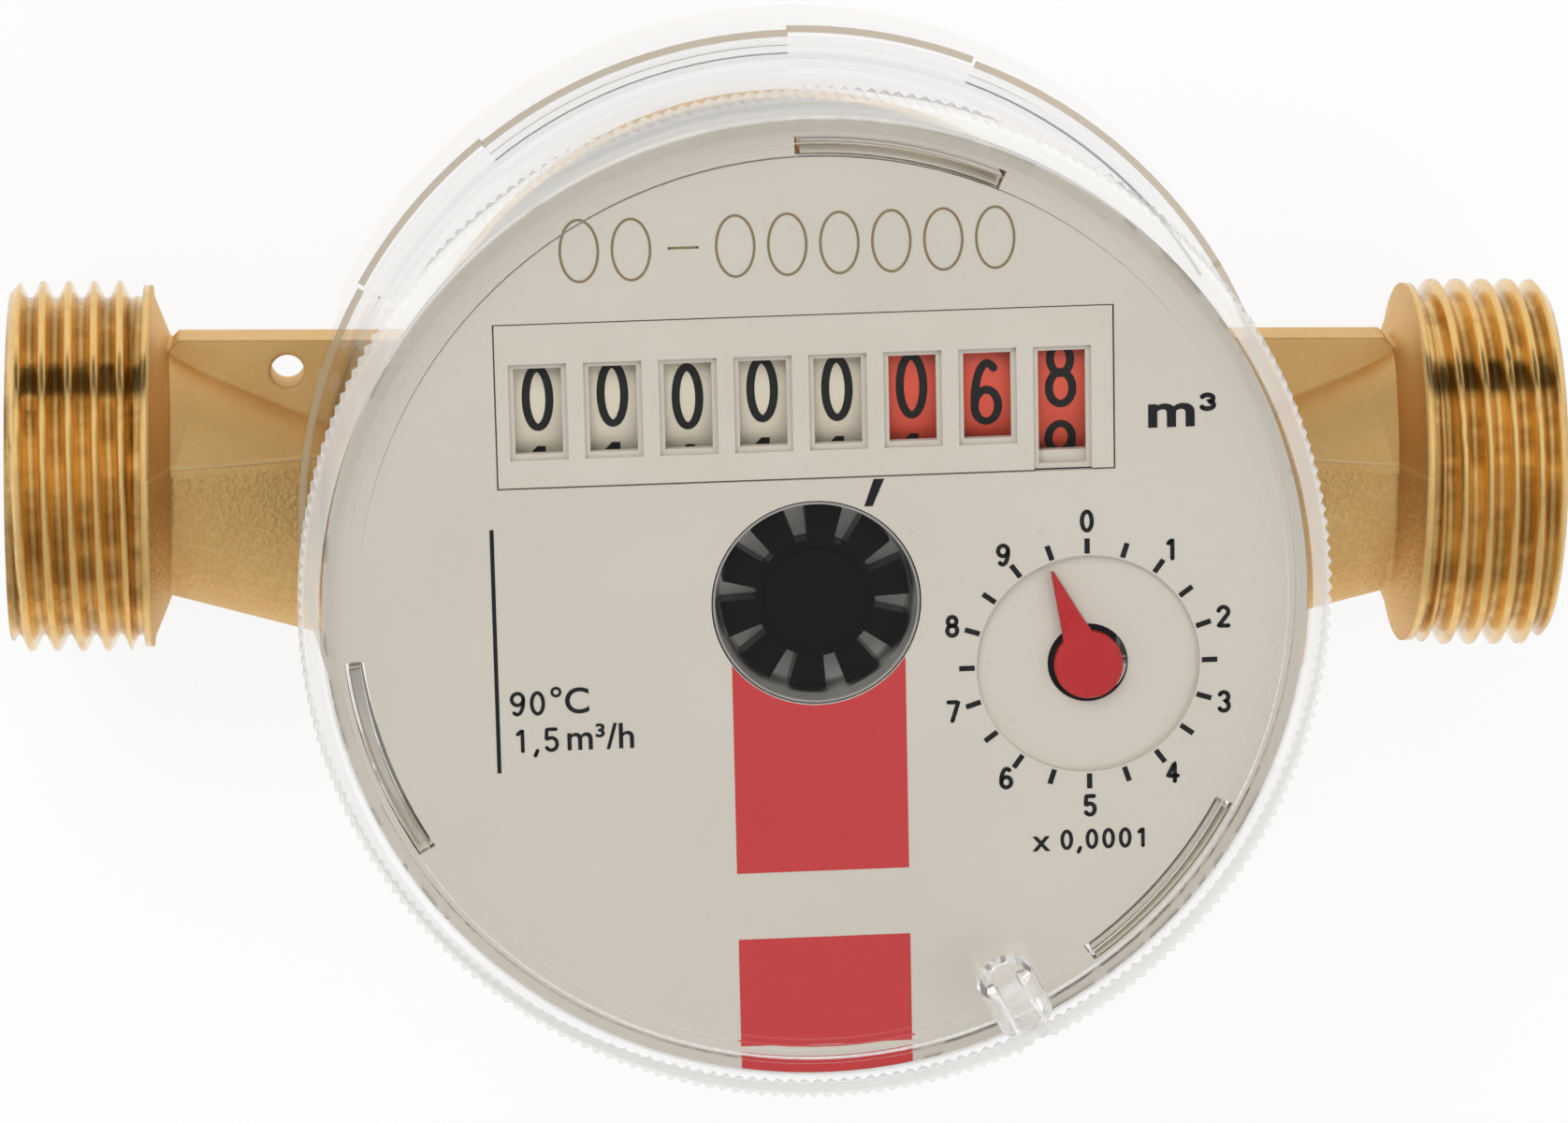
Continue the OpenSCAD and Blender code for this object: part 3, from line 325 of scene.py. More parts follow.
def clear_paint(name, tint, roughness, straight_share, looks=None):
    """Clear moulded plastic: most light goes straight through its walls, and shadows stay bright."""
    p = Paint(name)
    away = p.from_axis()
    z = p.axis(2)
    if looks == "window":
        straight_share = p.ramp_mm(away, WINDOW_EDGE_R, 0.5) * straight_share
    else:
        roughness = roughness + p.ramp(p.grain(500.0, 4.0, 0.65), 0.55, 0.8) * 0.03
    glass = p.surface(
        Base_Color=tint,
        Roughness=roughness,
        IOR=1.49,
        Transmission_Weight=1.0,
        Normal=p.bump(p.grain(60.0, 2.0), 0.0004, 0.06),
    )
    clear = p.node("ShaderNodeBsdfTransparent", None, {0: (*tint, 1.0)})
    soft_ray = p.clamped_sum(p.light_path("Is Shadow Ray"), p.light_path("Is Diffuse Ray"))
    deep = p.ramp(p.light_path("Transmission Depth"), 3.0, 5.0)
    share = p.clamped_sum(p.clamped_sum(soft_ray, deep), straight_share)
    look = p.blend(share, glass, clear)
    if looks == "window":
        # Painted light: the clear legs in the dial's slots, below the dial top, get a pale opaque surface in
        # the dial's tone.
        leg = (1.0 - p.ramp_mm(z, DIAL_TOP + 0.1, 0.1)) * (1.0 - p.ramp_mm(away, LEG_R, 0.1))
        leg_painted_light = p.surface(Base_Color=srgb(240, 234, 222), Roughness=0.5)
        look = p.blend(leg * 0.8, look, leg_painted_light)
        # The knurled band is frosted. On the smooth clear eyelet knob, the same pale surface is painted light
        # that softens its dark specks.
        band = p.ramp_mm(z, GRIP_LOW, 0.2) * p.ramp_mm(away, COVER_WALL_R, 0.2)
        knob = p.ramp_mm(z, WINDOW_TOP + 0.15, 0.15)
        frost_and_knob_light = p.surface(Base_Color=srgb(236, 235, 232), Roughness=0.4)
        look = p.blend(band * (1.0 - knob) * 0.5 + knob * 0.2, look, frost_and_knob_light)
    if looks == "rim":
        # Painted reflection: the upward faces of the collar's outer rim get a warm grey opaque surface that
        # stands in for reflected brass.
        facing = p.node("ShaderNodeNewGeometry", out="Normal")
        upward = p.ramp(p.part(facing, 2), 0.6, 0.8)
        rim = upward * p.ramp_mm(z, COLLAR_TOP - COLLAR_RIM_H, 0.2) * p.ramp_mm(away, COLLAR_RIM_R, 0.1)
        rim_painted_reflection = p.surface(Base_Color=srgb(184, 166, 136), Roughness=0.3)
        look = p.blend(rim * 0.75, look, rim_painted_reflection)
    return p.output(look)


def moulded_paint(name, low, high, roughness=0.42, grain=2200.0, depth=0.00004):
    """Moulded plastic: cloudy colour, fine grain, rubbed patches."""
    p = Paint(name)
    cloud = p.grain(110.0, 3.0, 0.6)
    fine = p.grain(grain, 3.0, 0.6)
    rubbed = p.ramp(p.grain(320.0, 4.0), 0.5, 0.75)
    return p.finish(
        Base_Color=p.mix(cloud, low, high),
        Roughness=roughness - rubbed * 0.08 + fine * 0.06,
        Normal=p.bump(fine, depth, 0.5),
    )


def dial_paint():
    """Warm white dial: cloudy tone, a little dust, a few hair scratches, and painted shade on the walls of
    its openings.
    """
    p = Paint("dial_white")
    cloud = p.grain(45.0, 3.0, 0.5)
    dust = p.ramp(p.grain(900.0, 2.0, 0.5), 0.72, 0.78)
    hairs = p.ramp(p.grain(1.0, 1.0, 0.4, p.stretched(90.0, 2600.0, 1.0)), 0.74, 0.77)
    tone = p.mix(cloud, srgb(190, 183, 171), srgb(202, 195, 183))
    tone = p.mix(dust * 0.2, tone, srgb(150, 140, 124))
    tone = p.mix(hairs * 0.1, tone, srgb(170, 160, 146))
    # Painted shade: the walls of the dial's openings and its underside are painted dark brown, except in the
    # sub-dial recess.
    below = 1.0 - p.ramp_mm(p.axis(2), DIAL_TOP - 0.06, 0.05)
    recess = p.ramp_mm(p.axis(2), DIAL_TOP - 0.46, 0.04) * below
    tone = p.mix(below - recess, tone, srgb(92, 84, 70))
    return p.finish(
        Base_Color=tone,
        Roughness=0.46 + cloud * 0.08,
        Normal=p.bump(p.grain(2600.0), 0.00003, 0.4),
    )


def ink_paint(name, colour, worn, wear=0.16):
    """Printed ink with a fine uneven lay."""
    p = Paint(name)
    lay = p.grain(1900.0, 4.0, 0.7)
    thin = p.ramp(lay, 0.58, 0.8)
    return p.finish(
        Base_Color=p.mix(thin * wear, colour, worn),
        Roughness=0.36 + lay * 0.14,
        Specular_IOR_Level=0.15,
    )


def metal_paint(name, low, high, roughness, scratch):
    """Plain metal with drawn scratches."""
    p = Paint(name)
    lines = p.grain(1.0, 2.0, 0.6, p.stretched(*scratch))
    spots = p.grain(700.0, 4.0)
    return p.finish(
        Base_Color=p.mix(spots, low, high),
        Metallic=1.0,
        Roughness=roughness + lines * 0.12,
        Normal=p.bump(lines, 0.00002, 0.4),
    )


def star_paint():
    """Glossy black plastic with fine rubbed specks."""
    p = Paint("star_black")
    dust = p.ramp(p.grain(1500.0, 3.0), 0.66, 0.8)
    return p.finish(
        Base_Color=p.mix(dust * 0.2, srgb(18, 18, 19), srgb(62, 60, 58)),
        Roughness=0.16 + dust * 0.25,
        Specular_IOR_Level=0.22,
        Normal=p.bump(p.grain(600.0), 0.00004, 0.3),
    )


def dish_paint():
    """Grey dish under the star wheel, darker up its wall, with painted light on its floor."""
    p = Paint("dish_grey")
    cloud = p.grain(300.0, 3.0)
    wall = p.mix(cloud, srgb(132, 130, 126), srgb(156, 153, 148))
    # Painted light: the dish floor, in the star wheel's shade, is painted nearly white.
    return p.finish(
        Base_Color=p.mix(p.ramp_mm(p.from_axis(), DISH_WALL_R, 0.4), srgb(238, 235, 228), wall),
        Roughness=0.3 + cloud * 0.08,
        Normal=p.bump(p.grain(2200.0), 0.00004, 0.4),
    )


paints = {
    "brass": brass_paint(),
    "cover_clear": clear_paint("cover_clear", srgb(254, 254, 254), 0.0, 0.93, "window"),
    "base_clear": clear_paint("base_clear", srgb(254, 254, 254), 0.04, 0.92),
    "collar_clear": clear_paint("collar_clear", srgb(254, 254, 254), 0.02, 0.92, "rim"),
    "dial": dial_paint(),
    "bezel": moulded_paint("bezel_white", srgb(192, 184, 171), srgb(202, 195, 183), 0.4),
    "white": moulded_paint("white_plastic", srgb(212, 211, 206), srgb(226, 225, 221), 0.44),
    "sieve": moulded_paint("sieve_plastic", srgb(196, 196, 190), srgb(214, 213, 208), 0.5),
    "dish": dish_paint(),
    "dark": moulded_paint("dark_plastic", srgb(52, 53, 56), srgb(70, 71, 74), 0.45),
    "pointer": moulded_paint("pointer_red", srgb(166, 24, 29), srgb(180, 32, 36), 0.3),
    "cream": moulded_paint("roller_cream", srgb(198, 189, 168), srgb(211, 202, 184), 0.5),
    "roller_red": moulded_paint("roller_red", srgb(192, 66, 45), srgb(206, 80, 57), 0.5),
    "star": star_paint(),
    "steel": metal_paint("ground_steel", (0.52, 0.52, 0.52), (0.66, 0.66, 0.65), 0.2, (900.0, 900.0, 900.0)),
    "iron": metal_paint("soft_iron", (0.2, 0.2, 0.21), (0.3, 0.3, 0.31), 0.4, (300.0, 300.0, 4000.0)),
    "ferrite": moulded_paint("ferrite", srgb(44, 44, 46), srgb(62, 61, 62), 0.55, 1400.0, 0.00006),
    "rubber": moulded_paint("seal_rubber", srgb(26, 26, 27), srgb(38, 38, 39), 0.6),
    "black_ink": ink_paint("black_ink", srgb(24, 25, 27), srgb(74, 74, 74)),
    "roller_ink": ink_paint("roller_ink", srgb(30, 31, 30), srgb(72, 70, 66), 0.25),
    "red_ink": ink_paint("red_ink", srgb(185, 61, 63), srgb(202, 90, 90)),
    "burnt_mark": ink_paint("burnt_mark", srgb(128, 112, 84), srgb(182, 160, 122), 0.6),
}

node_paints = {
    "inlet_strainer": "sieve",
    "impeller_pivot": "steel",
    "pressure_plate": "dark",
    "seal_ring": "rubber",
    "clamp_ring": "brass",
    "collar_ring": "collar_clear",
    "impeller": "white",
    "impeller_magnet": "ferrite",
    "register_base": "base_clear",
    "clear_cover": "cover_clear",
    "dial_plate": "dial",
    "counter_bezel": "bezel",
    "star_bezel": "dish",
    "shield_ring": "iron",
    "register_frame": "dark",
    "roller_shaft": "steel",
    "pinion_shaft": "steel",
    "first_arbor": "steel",
    "second_arbor": "steel",
    "star_shaft": "star",
    "driven_magnet": "ferrite",
    "star_wheel": "star",
    "first_wheel": "white",
    "second_wheel": "white",
    "pointer_arbor": "white",
    "pointer": "pointer",
    "counter_drive": "white",
}
for number in range(1, ROLLER_COUNT + 1):
    node_paints[f"roller_{number}"] = "cream" if number < FIRST_RED_ROLLER else "roller_red"
for number in range(1, ROLLER_COUNT):
    node_paints[f"transfer_pinion_{number}"] = "dark"

for node_name, paint_name in node_paints.items():
    surfaces = nodes[node_name].data.materials
    surfaces.clear()
    surfaces.append(paints[paint_name])


# Meshes


class Sheet:
    """Points and faces in millimetres, gathered before they become one piece."""

    def __init__(self):
        self.points = []
        self.faces = []

    def add(self, points, faces):
        start = len(self.points)
        self.points.extend(points)
        self.faces.extend([tuple(i + start for i in face) for face in faces])

    def stroke(self, line, width, closed=False, at=(0.0, 0.0)):
        """Ribbon of even width along a flat line of points, with round ends if it is open."""
        count = len(line)
        left, right = [], []
        for i, (x, y) in enumerate(line):
            before = line[(i - 1) % count] if closed or i > 0 else line[i]
            after = line[(i + 1) % count] if closed or i < count - 1 else line[i]
            dx, dy = after[0] - before[0], after[1] - before[1]
            size = math.hypot(dx, dy) or 1.0
            nx, ny = -dy / size * width / 2, dx / size * width / 2
            left.append((at[0] + x + nx, at[1] + y + ny))
            right.append((at[0] + x - nx, at[1] + y - ny))
        faces = []
        for i in range(count if closed else count - 1):
            j = (i + 1) % count
            faces.append((i, count + i, count + j, j))
        self.add(left + right, faces)
        if not closed:
            for x, y in (line[0], line[-1]):
                self.disc(at[0] + x, at[1] + y, width / 2, 14)

    def disc(self, x, y, radius, steps):
        angles = [2 * math.pi * i / steps for i in range(steps)]
        rim = [(x + radius * math.cos(a), y + radius * math.sin(a)) for a in angles]
        self.add(rim, [tuple(range(steps))])

    def area(self, corners):
        self.add(corners, [tuple(range(len(corners)))])

    def words(self, body, size, x, y, wide=1.0, bold=0.0):
        """Plain letters centred on a point; size is the height of the letter box."""
        curve = bpy.data.curves.new("words", "FONT")
        curve.body = body
        curve.size = size
        curve.align_x = "CENTER"
        curve.align_y = "CENTER"
        curve.offset = bold
        curve.fill_mode = "FRONT"
        holder = bpy.data.objects.new("words", curve)
        mesh = holder.to_mesh()
        points = [(x + v.co.x * wide, y + v.co.y) for v in mesh.vertices]
        faces = [tuple(f.vertices) for f in mesh.polygons]
        holder.to_mesh_clear()
        bpy.data.objects.remove(holder)
        bpy.data.curves.remove(curve)
        self.add(points, faces)


def piece(name, points, faces, paint, body, smooth=False):
    """A new piece from points in millimetres in the frame, with its paint and body."""
    mesh = bpy.data.meshes.new(name)
    mesh.from_pydata([[c * MM for c in p] for p in points], [], faces)
    mesh.update()
    mesh.polygons.foreach_set("use_smooth", [smooth] * len(mesh.polygons))
    made = bpy.data.objects.new(name, mesh)
    bpy.context.scene.collection.objects.link(made)
    made.data.materials.append(paints[paint])
    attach(made, body)
    return made


def on_register(x, y, z):
    """From the register's own axes to the frame's."""
    a = math.radians(REGISTER_TURN)
    return (x * math.cos(a) - y * math.sin(a), x * math.sin(a) + y * math.cos(a), z)


def printed(name, sheet, paint, z):
    """Flat print on the dial at height z."""
    piece(name, [on_register(x, y, z) for x, y in sheet.points], sheet.faces, paint, "register")


def ring_faces(rings, around, flip):
    """Faces between rings of points, with the last ring joined to the first."""
    faces = []
    for i in range(rings):
        n = (i + 1) % rings
        for j in range(around):
            k = (j + 1) % around
            face = (i * around + j, i * around + k, n * around + k, n * around + j)
            faces.append(face[::-1] if flip else face)
    return faces


def thread_radius(x, turn):
    """Radius of the pipe thread at a distance from the middle and a share of a turn."""
    share = (x / THREAD_PITCH - turn) % 1.0
    rise = abs(2.0 * share - 1.0)
    rise = min(1.0, max(0.0, (rise - THREAD_FLAT) / (1.0 - 2.0 * THREAD_FLAT)))
    rise = (1.0 - THREAD_ROUNDING) * rise + THREAD_ROUNDING * rise * rise * (3.0 - 2.0 * rise)
    return THREAD_ROOT + (THREAD_R - THREAD_ROOT) * rise


def thread_sleeve(name, side):
    """Helical pipe thread on one end, chamfered at the face and run out at the relief groove."""
    around, along = 180, 118
    dents_along, dents_around = 2.1, 9.0
    inner = THREAD_ROOT - SLEEVE_WALL
    points = []
    for i in range(along + 1):
        x = THREAD_X + (END_X - THREAD_X) * i / along
        run_out = THREAD_ROOT + RUN_OUT_STEP + (x - THREAD_X) * RUN_OUT_SLOPE
        limit = min(THREAD_R - max(0.0, x - END_X + END_CHAMFER), run_out)
        for j in range(around):
            turn = j / around
            a = 2.0 * math.pi * turn
            place = Vector((x * dents_along * side, math.cos(a) * dents_around, math.sin(a) * dents_around))
            dent = max(0.0, noise.noise(place) - DENT_LEVEL) * DENT_DEPTH
            r = min(limit, thread_radius(x * side, turn) - dent)
            points.append((x * side, r * math.cos(a), PIPE_Z + r * math.sin(a)))
    for x in (END_X, THREAD_X):
        for j in range(around):
            a = 2.0 * math.pi * j / around
            points.append((x * side, inner * math.cos(a), PIPE_Z + inner * math.sin(a)))
    faces = ring_faces(along + 3, around, side < 0)
    piece(name, points, faces, "brass", "meter_body", smooth=True)


def neck_root(name, side):
    """Forged flare where one sloping neck leaves its shoulder, cut off square at both ends."""
    around = 96
    slope = math.radians(NECK_ANGLE)
    c, s = math.cos(slope), math.sin(slope)
    rings = (
        (NECK_START, NECK_R + ROOT_SKIN, ROOT_TAPER, ROOT_BACK),
        (NECK_START, NECK_R + ROOT_SKIN, ROOT_TAPER, ROOT_FRONT),
        (CHANNEL_START, CHANNEL_R, 0.0, ROOT_FRONT),
        (CHANNEL_START, CHANNEL_R, 0.0, ROOT_BACK),
    )
    points = []
    for start_x, radius, taper, x in rings:
        for j in range(around):
            a = 2.0 * math.pi * j / around
            along = (start_x - x - radius * math.cos(a) * s) / (c - taper * math.cos(a) * s)
            r = radius - taper * along
            points.append((x * side, r * math.cos(a) * c - along * s, PIPE_Z + r * math.sin(a)))
    faces = ring_faces(len(rings), around, side > 0)
    made = piece(name, points, faces, "brass", "meter_body", smooth=True)
    sharp_by_angle(made.data)


def plain_tube(name, low, high, inner, outer):
    """Tube round the pipe axis, for cutting."""
    around = 128
    rings = ((low, inner), (high, inner), (high, outer), (low, outer))
    points = []
    for x, r in rings:
        for j in range(around):
            a = 2.0 * math.pi * j / around
            points.append((x * MM, r * math.cos(a) * MM, (PIPE_Z + r * math.sin(a)) * MM))
    mesh = bpy.data.meshes.new(name)
    mesh.from_pydata(points, [], ring_faces(len(rings), around, True))
    work = bmesh.new()
    work.from_mesh(mesh)
    bmesh.ops.recalc_face_normals(work, faces=work.faces)
    work.to_mesh(mesh)
    work.free()
    made = bpy.data.objects.new(name, mesh)
    bpy.context.scene.collection.objects.link(made)
    return made


def sharp_by_angle(mesh):
    """Smooth shading that keeps edges over SHARP_ANGLE sharp."""
    work = bmesh.new()
    work.from_mesh(mesh)
    for face in work.faces:
        face.smooth = True
    for edge in work.edges:
        edge.smooth = len(edge.link_faces) == 2 and edge.calc_face_angle(0.0) < math.radians(SHARP_ANGLE)
    work.to_mesh(mesh)
    work.free()


def turned_body():
    """The brass body with its two ends turned down to the core that the threads sit on."""
    mesh = nodes["body"].data.copy()
    mesh.name = "turned_body"
    work = bmesh.new()
    work.from_mesh(mesh)
    bmesh.ops.remove_doubles(work, verts=work.verts, dist=WELD * MM)
    work.to_mesh(mesh)
    work.free()
    made = bpy.data.objects.new("turned_body", mesh)
    bpy.context.scene.collection.objects.link(made)
    core = THREAD_ROOT - CORE_SINK
    outside = THREAD_R + CUT_MARGIN
    cutters = [
        plain_tube("cut_right", THREAD_X, END_X + CUT_MARGIN, core, outside),
        plain_tube("cut_left", -END_X - CUT_MARGIN, -THREAD_X, core, outside),
    ]
    for cutter in cutters:
        cut = made.modifiers.new(cutter.name, "BOOLEAN")
        cut.operation = "DIFFERENCE"
        cut.solver = "EXACT"
        cut.object = cutter
    bpy.context.view_layer.update()
    result = made.evaluated_get(bpy.context.evaluated_depsgraph_get())
    cut_mesh = bpy.data.meshes.new_from_object(result)
    made.modifiers.clear()
    made.data = cut_mesh
    for cutter in cutters:
        bpy.data.objects.remove(cutter)
    normals = made.data.attributes.get("custom_normal")
    if normals:
        made.data.attributes.remove(normals)
    sharp_by_angle(made.data)
    made.data.materials.clear()
    made.data.materials.append(paints["brass"])
    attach(made, "meter_body")
    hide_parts("body")


def arc(cx, cy, rx, ry, start, end, steps=18):
    """Points of an elliptic arc, in degrees."""
    out = []
    for i in range(steps + 1):
        a = math.radians(start + (end - start) * i / steps)
        out.append((cx + rx * math.cos(a), cy + ry * math.sin(a)))
    return out


def straight(*corners, steps=8):
    """Points along straight runs between corners."""
    out = [corners[0]]
    for (x0, y0), (x1, y1) in zip(corners, corners[1:]):
        for i in range(1, steps + 1):
            out.append((x0 + (x1 - x0) * i / steps, y0 + (y1 - y0) * i / steps))
    return out


def figure(digit):
    """Centre lines of a plain figure in a box 1 wide and 2 high, as (points, closed)."""
    if digit == 0:
        return [(arc(0, 0, 0.5, 1.0, 0, 350, 35), True)]
    if digit == 1:
        return [(straight((-0.28, 0.62), (0.12, 1.0), (0.12, -1.0)), False)]
    if digit == 2:
        return [(arc(0, 0.48, 0.5, 0.52, 165, -25) + straight((0.42, 0.2), (-0.5, -1.0), (0.5, -1.0)), False)]
    if digit == 3:
        top = arc(0, 0.5, 0.46, 0.5, 150, -90)
        return [(top + arc(0, -0.48, 0.5, 0.52, 90, -150)[1:], False)]
    if digit == 4:
        return [(straight((0.2, -1.0), (0.2, 1.0), (-0.5, -0.42), (0.5, -0.42)), False)]
    if digit == 5:
        flag = straight((0.42, 1.0), (-0.36, 1.0), (-0.42, 0.1))
        return [(flag + arc(0, -0.4, 0.5, 0.6, 125, -145), False)]
    if digit == 7:
        return [(straight((-0.5, 1.0), (0.5, 1.0), (-0.12, -1.0)), False)]
    if digit == 8:
        return [(arc(0, 0.52, 0.43, 0.48, 0, 350, 35), True), (arc(0, -0.46, 0.5, 0.54, 0, 350, 35), True)]
    six = [(arc(0, -0.44, 0.5, 0.56, 0, 350, 35), True), (arc(0.06, -0.3, 0.56, 1.3, 186, 62, 24), False)]
    if digit == 6:
        return six
    return [([(-x, -y) for x, y in points], closed) for points, closed in six]


def roller_figures(number, shown):
    """The ten figures round one number roller, with the figure shown at the top."""
    wide, high, pen = 1.56, 2.0, 0.54
    r = ROLLER_R + ROLLER_PRINT_LIFT
    middle_x = ROLLER_X + (number - (ROLLER_COUNT + 1) / 2) * ROLLER_PITCH
    points, faces = [], []
    for digit in range(FIGURES):
        sheet = Sheet()
        for line, closed in figure(digit):
            sheet.stroke([(x * wide, y * high) for x, y in line], pen, closed)
        start = len(points)
        middle = math.radians((digit - shown) * 360.0 / FIGURES)
        for u, v in sheet.points:
            a = middle - v / ROLLER_R
            points.append(on_register(middle_x + u, ROLLER_Y - r * math.sin(a), ROLLER_Z + r * math.cos(a)))
        faces.extend([tuple(i + start for i in face) for face in sheet.faces])
    piece(f"roller_{number}_figures", points, faces, "roller_ink", f"roller_{number}")


def pointer_hand():
    """Red pointer: a round hub and a slim blade with a chamfered top edge."""
    heights = [vertex.co.z / MM for vertex in nodes["pointer"].data.vertices]
    low, high = min(heights), max(heights)
    hub, chamfer = 2.3, 0.14
    shoulder = 27.0
    blade, blade_half = 2.75, 0.86
    tip, tip_half = 6.82, 0.1
    line = arc(0, 0, hub, hub, shoulder, 360 - shoulder, 56)
    line += [(blade, -blade_half), (tip, -tip_half), (tip, tip_half), (blade, blade_half)]
    count = len(line)
    turn = math.radians(POINTER_TURN)
    points, faces = [], []
    for z, inset in ((low, 0.0), (high - chamfer, 0.0), (high, chamfer)):
        for i, (u, v) in enumerate(line):
            before, after = line[i - 1], line[(i + 1) % count]
            du, dv = after[0] - before[0], after[1] - before[1]
            size = math.hypot(du, dv)
            depth = min(inset, 0.6 * abs(v)) if u > hub else inset
            u, v = u - dv / size * depth, v + du / size * depth
            x = POINTER_AT[0] + u * math.cos(turn) - v * math.sin(turn)
            y = POINTER_AT[1] + u * math.sin(turn) + v * math.cos(turn)
            points.append(on_register(x, y, z))
    for level in (0, count):
        for i in range(count):
            j = (i + 1) % count
            faces.append((level + i, level + j, level + count + j, level + count + i))
    faces.append(tuple(range(count))[::-1])
    faces.append(tuple(range(2 * count, 3 * count)))
    made = piece("pointer_hand", points, faces, "pointer", "pointer")
    sharp_by_angle(made.data)
    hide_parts("pointer")


def numerals(sheet, text, x, y, high, pen):
    """Row of plain figures centred on a point; a comma takes half a place."""
    steps = [0.4 if mark == "," else 0.78 for mark in text]
    place = x - sum(steps) * high / 2
    wide, tall = 0.6 * high - pen, (high - pen) / 2
    for mark, step in zip(text, steps):
        middle = place + step * high / 2
        place += step * high
        if mark == ",":
            foot = y - tall
            sheet.stroke([(middle + 0.04 * high, foot), (middle - 0.05 * high, foot - 0.2 * high)], pen)
            continue
        for line, closed in figure(int(mark)):
            sheet.stroke([(u * wide, v * tall) for u, v in line], pen, closed, at=(middle, y))


def pointer_scale():
    """Ticks and figures round the pointer, with the multiplier below."""
    sheet = Sheet()
    cx, cy = POINTER_AT
    ticks = 2 * FIGURES
    near, far, half = 7.62, 8.66, 0.18
    corners = [(near, -half), (far, -half), (far, half), (near, half)]
    for i in range(ticks):
        a = math.radians(90 - i * 360 / ticks)
        c, s = math.cos(a), math.sin(a)
        sheet.area([(cx + r * c - t * s, cy + r * s + t * c) for r, t in corners])
    upright_reach, side_reach = 9.85, 9.55
    for digit in range(FIGURES):
        a = math.radians(90 - digit * 360 / FIGURES)
        reach = upright_reach if digit in (0, 5) else side_reach
        at = (cx + reach * math.cos(a), cy + reach * math.sin(a))
        numerals(sheet, str(digit), *at, high=1.58, pen=0.29)
    sheet.words("x", 2.2, cx - 3.3, cy - 12.25, bold=LETTER_BOLD)
    numerals(sheet, "0,0001", cx + 0.95, cy - 12.2, high=1.44, pen=LETTER_PEN)
    printed("pointer_scale", sheet, "black_ink", DIAL_TOP + PRINT_LIFT)


def dial_marks():
    """Unit, decimal comma, dividing line and plain ratings."""
    sheet = Sheet()
    sheet.words("m", 3.2, 23.8, 12.2, wide=1.38, bold=0.08)
    cube_wide, cube_high, cube_pen = 0.84, 0.47, 0.33
    for line, closed in figure(3):
        sheet.stroke([(u * cube_wide, v * cube_high) for u, v in line], cube_pen, closed, at=(26.2, 12.8))
    comma_low, comma_high = 6.5, 8.35
    sheet.area([(3.3, comma_low), (3.86, comma_low), (4.66, comma_high), (3.96, comma_high)])
    left, right, low, high = -21.55, -21.28, -10.95, 5.8
    sheet.area([(left, high), (left, low), (right, low), (right, high)])
    rating_high, unit_size = 1.7, 2.5
    for y, number, number_x, unit, unit_x in (
        (-6.2, "90", -19.4, "°C", -16.6),
        (-8.75, "1,5", -18.9, "m³/h", -14.6),
    ):
        numerals(sheet, number, number_x, y, rating_high, LETTER_PEN)
        sheet.words(unit, unit_size, unit_x, y, bold=LETTER_BOLD)
    printed("dial_marks", sheet, "black_ink", DIAL_TOP + PRINT_LIFT)


def dial_stripe():
    """Red stripe below the star wheel, in two runs and the edge."""
    sheet = Sheet()
    left, right = -5.72, 5.86
    first_end, second_start, second_end = -18.6, -23.24, -30.86
    star, inner, outer = 7.04, 31.75, 32.75
    steps = 24
    run = [left + (right - left) * i / steps for i in range(steps + 1)]

    def bow(radius):
        return [(x, -math.sqrt(radius * radius - x * x)) for x in run]

    sheet.area([(left, first_end)] + bow(star) + [(right, first_end)])
    sheet.area([(right, second_end), (right, second_start), (left, second_start), (left, second_end)])
    sheet.area(bow(outer) + bow(inner)[::-1])
    printed("dial_stripe", sheet, "red_ink", DIAL_TOP + PRINT_LIFT)


def burnt_number():
    """Plain row of zeros marked into the dial above the counter."""
    sheet = Sheet()
    pitch, high, wide, pen = 3.42, 2.05, 2.5, 0.17
    first_x, row_y = -15.1, 24.4
    places, hyphen_place, hyphen_half = 9, 2, 0.95
    for place in range(places):
        at = (first_x + place * pitch, row_y)
        if place == hyphen_place:
            sheet.stroke(straight((-hyphen_half, 0.0), (hyphen_half, 0.0)), pen, at=at)
            continue
        for line, closed in figure(0):
            sheet.stroke([(u * wide, v * high) for u, v in line], pen, closed, at=at)
    printed("burnt_number", sheet, "burnt_mark", DIAL_TOP + PRINT_LIFT)


turned_body()
thread_sleeve("thread_right", 1)
thread_sleeve("thread_left", -1)
neck_root("neck_root_right", 1)
neck_root("neck_root_left", -1)
for number, shown in enumerate(ROLLER_READING, 1):
    roller_figures(number, shown)
pointer_scale()
dial_marks()
pointer_hand()
dial_stripe()
burnt_number()


# Studio


def white_floor():
    """Pale floor that shows white to the camera and keeps a faint shadow."""
    half = 3.0
    corners = [(-half, -half, 0), (half, -half, 0), (half, half, 0), (-half, half, 0)]
    mesh = bpy.data.meshes.new("floor")
    mesh.from_pydata(corners, [], [(0, 1, 2, 3)])
    made = bpy.data.objects.new("floor", mesh)
    bpy.context.scene.collection.objects.link(made)
    p = Paint("floor")
    seen = p.clamped_sum(p.light_path("Is Camera Ray"), p.light_path("Is Glossy Ray"))
    share = p.clamped_sum(seen, p.light_path("Is Transmission Ray"))
    plain = p.node("ShaderNodeBsdfDiffuse", None, {"Color": (0.86, 0.86, 0.86, 1.0)})
    glow = p.node("ShaderNodeEmission", None, {"Color": (1.0, 1.0, 1.0, 1.0), "Strength": 1.0})
    made.data.materials.append(p.output(p.blend(share * 0.86, plain, glow)))


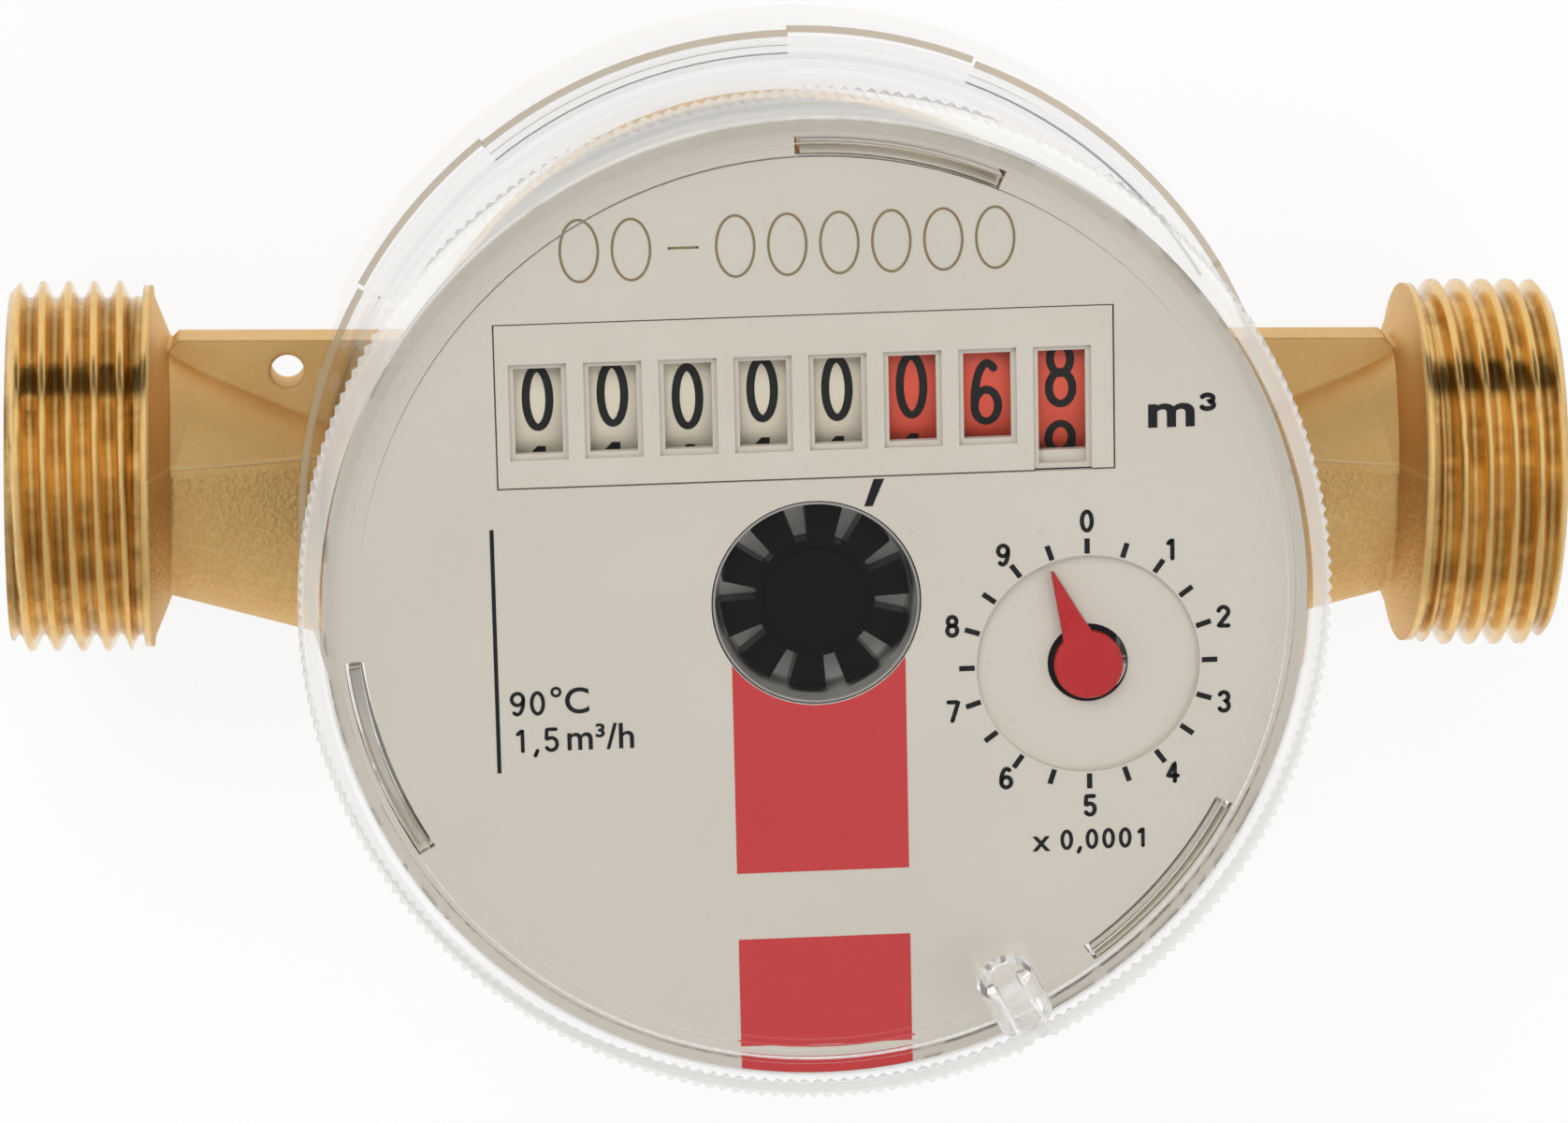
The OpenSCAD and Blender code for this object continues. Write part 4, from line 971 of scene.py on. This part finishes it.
def studio_world():
    """White to the camera; for light and reflections a soft box on the far side above a dark wall."""
    world = bpy.data.worlds.new("studio")
    bpy.context.scene.world = world
    world.use_nodes = True
    p = Paint("studio", world.node_tree)
    ray = p.node("ShaderNodeTexCoord", out=0)
    height = p.part(ray, 2)
    side = p.part(ray, 1)
    lean = p.node("ShaderNodeMath", {"operation": "ARCTAN2"}, {0: side, 1: height})
    levels = (
        (-180, 0.8), (-92, 0.85), (-86, 0.7), (-70, 0.58), (-20, 0.74), (4, 0.86),
        (14, 1.0), (58, 1.0), (66, 0.13), (86, 0.11), (91, 0.8), (180, 0.8),
    )
    stops = [(0.5 + degrees / 360, (level, level, level)) for degrees, level in levels]
    lit = p.node("ShaderNodeValToRGB", {"stops": stops}, {0: lean / math.tau + 0.5})
    gap_way = (0.06, -0.24, 0.968)
    mirror = p.vector("DOT_PRODUCT", ray, gap_way, out=1)
    gap = p.ramp(mirror, 0.9, 0.97) * p.light_path("Is Singular Ray")
    lit = p.mix(gap * 0.9, lit, (0.02, 0.02, 0.02))
    through = p.light_path("Is Transmission Ray") * (1.0 - p.ramp(height, 0.25, 0.45))
    white = p.clamped_sum(p.light_path("Is Camera Ray"), through)
    sky = p.node("ShaderNodeBackground", None, {"Color": p.mix(white, lit, (1.0, 1.0, 1.0)), "Strength": 1.0})
    p.node("ShaderNodeOutputWorld", None, {0: sky})


def soft_lamp(name, place, size, power):
    """Square soft box aimed at the meter's middle."""
    light = bpy.data.lights.new(name, "AREA")
    light.shape = "RECTANGLE"
    light.size, light.size_y = size
    light.energy = power
    made = bpy.data.objects.new(name, light)
    made.location = place
    aim = Vector((0.0, 0.0, 0.03)) - Vector(place)
    made.rotation_euler = aim.to_track_quat("-Z", "Y").to_euler()
    made.visible_glossy = False
    bpy.context.scene.collection.objects.link(made)


def photo_camera():
    """Camera from above and a little behind the dial's top edge, as in the photograph."""
    place = Vector((-30.88, 117.73, 496.57)) * MM
    lean_x, lean_y, roll = (math.radians(degrees) for degrees in (3.716, -14.58, 0.685))
    forward = Vector((math.tan(lean_x), math.tan(lean_y), -1.0)).normalized()
    right = forward.cross(Vector((0.0, 1.0, 0.0))).normalized()
    up = right.cross(forward)
    across = right * math.cos(roll) + up * math.sin(roll)
    upward = up * math.cos(roll) - right * math.sin(roll)
    data = bpy.data.cameras.new("camera")
    data.sensor_width = 36.0
    data.lens = 158.24
    made = bpy.data.objects.new("camera", data)
    turn = Matrix((across, upward, -forward)).transposed().to_4x4()
    made.matrix_world = Matrix.Translation(place) @ turn
    bpy.context.scene.collection.objects.link(made)
    bpy.context.scene.camera = made


white_floor()
studio_world()
soft_lamp("key", (-0.25, 0.55, 0.55), (0.45, 0.45), 2.7)
soft_lamp("fill", (0.5, -0.2, 0.6), (0.5, 0.5), 1.3)
photo_camera()
bpy.context.scene.view_settings.view_transform = "Standard"
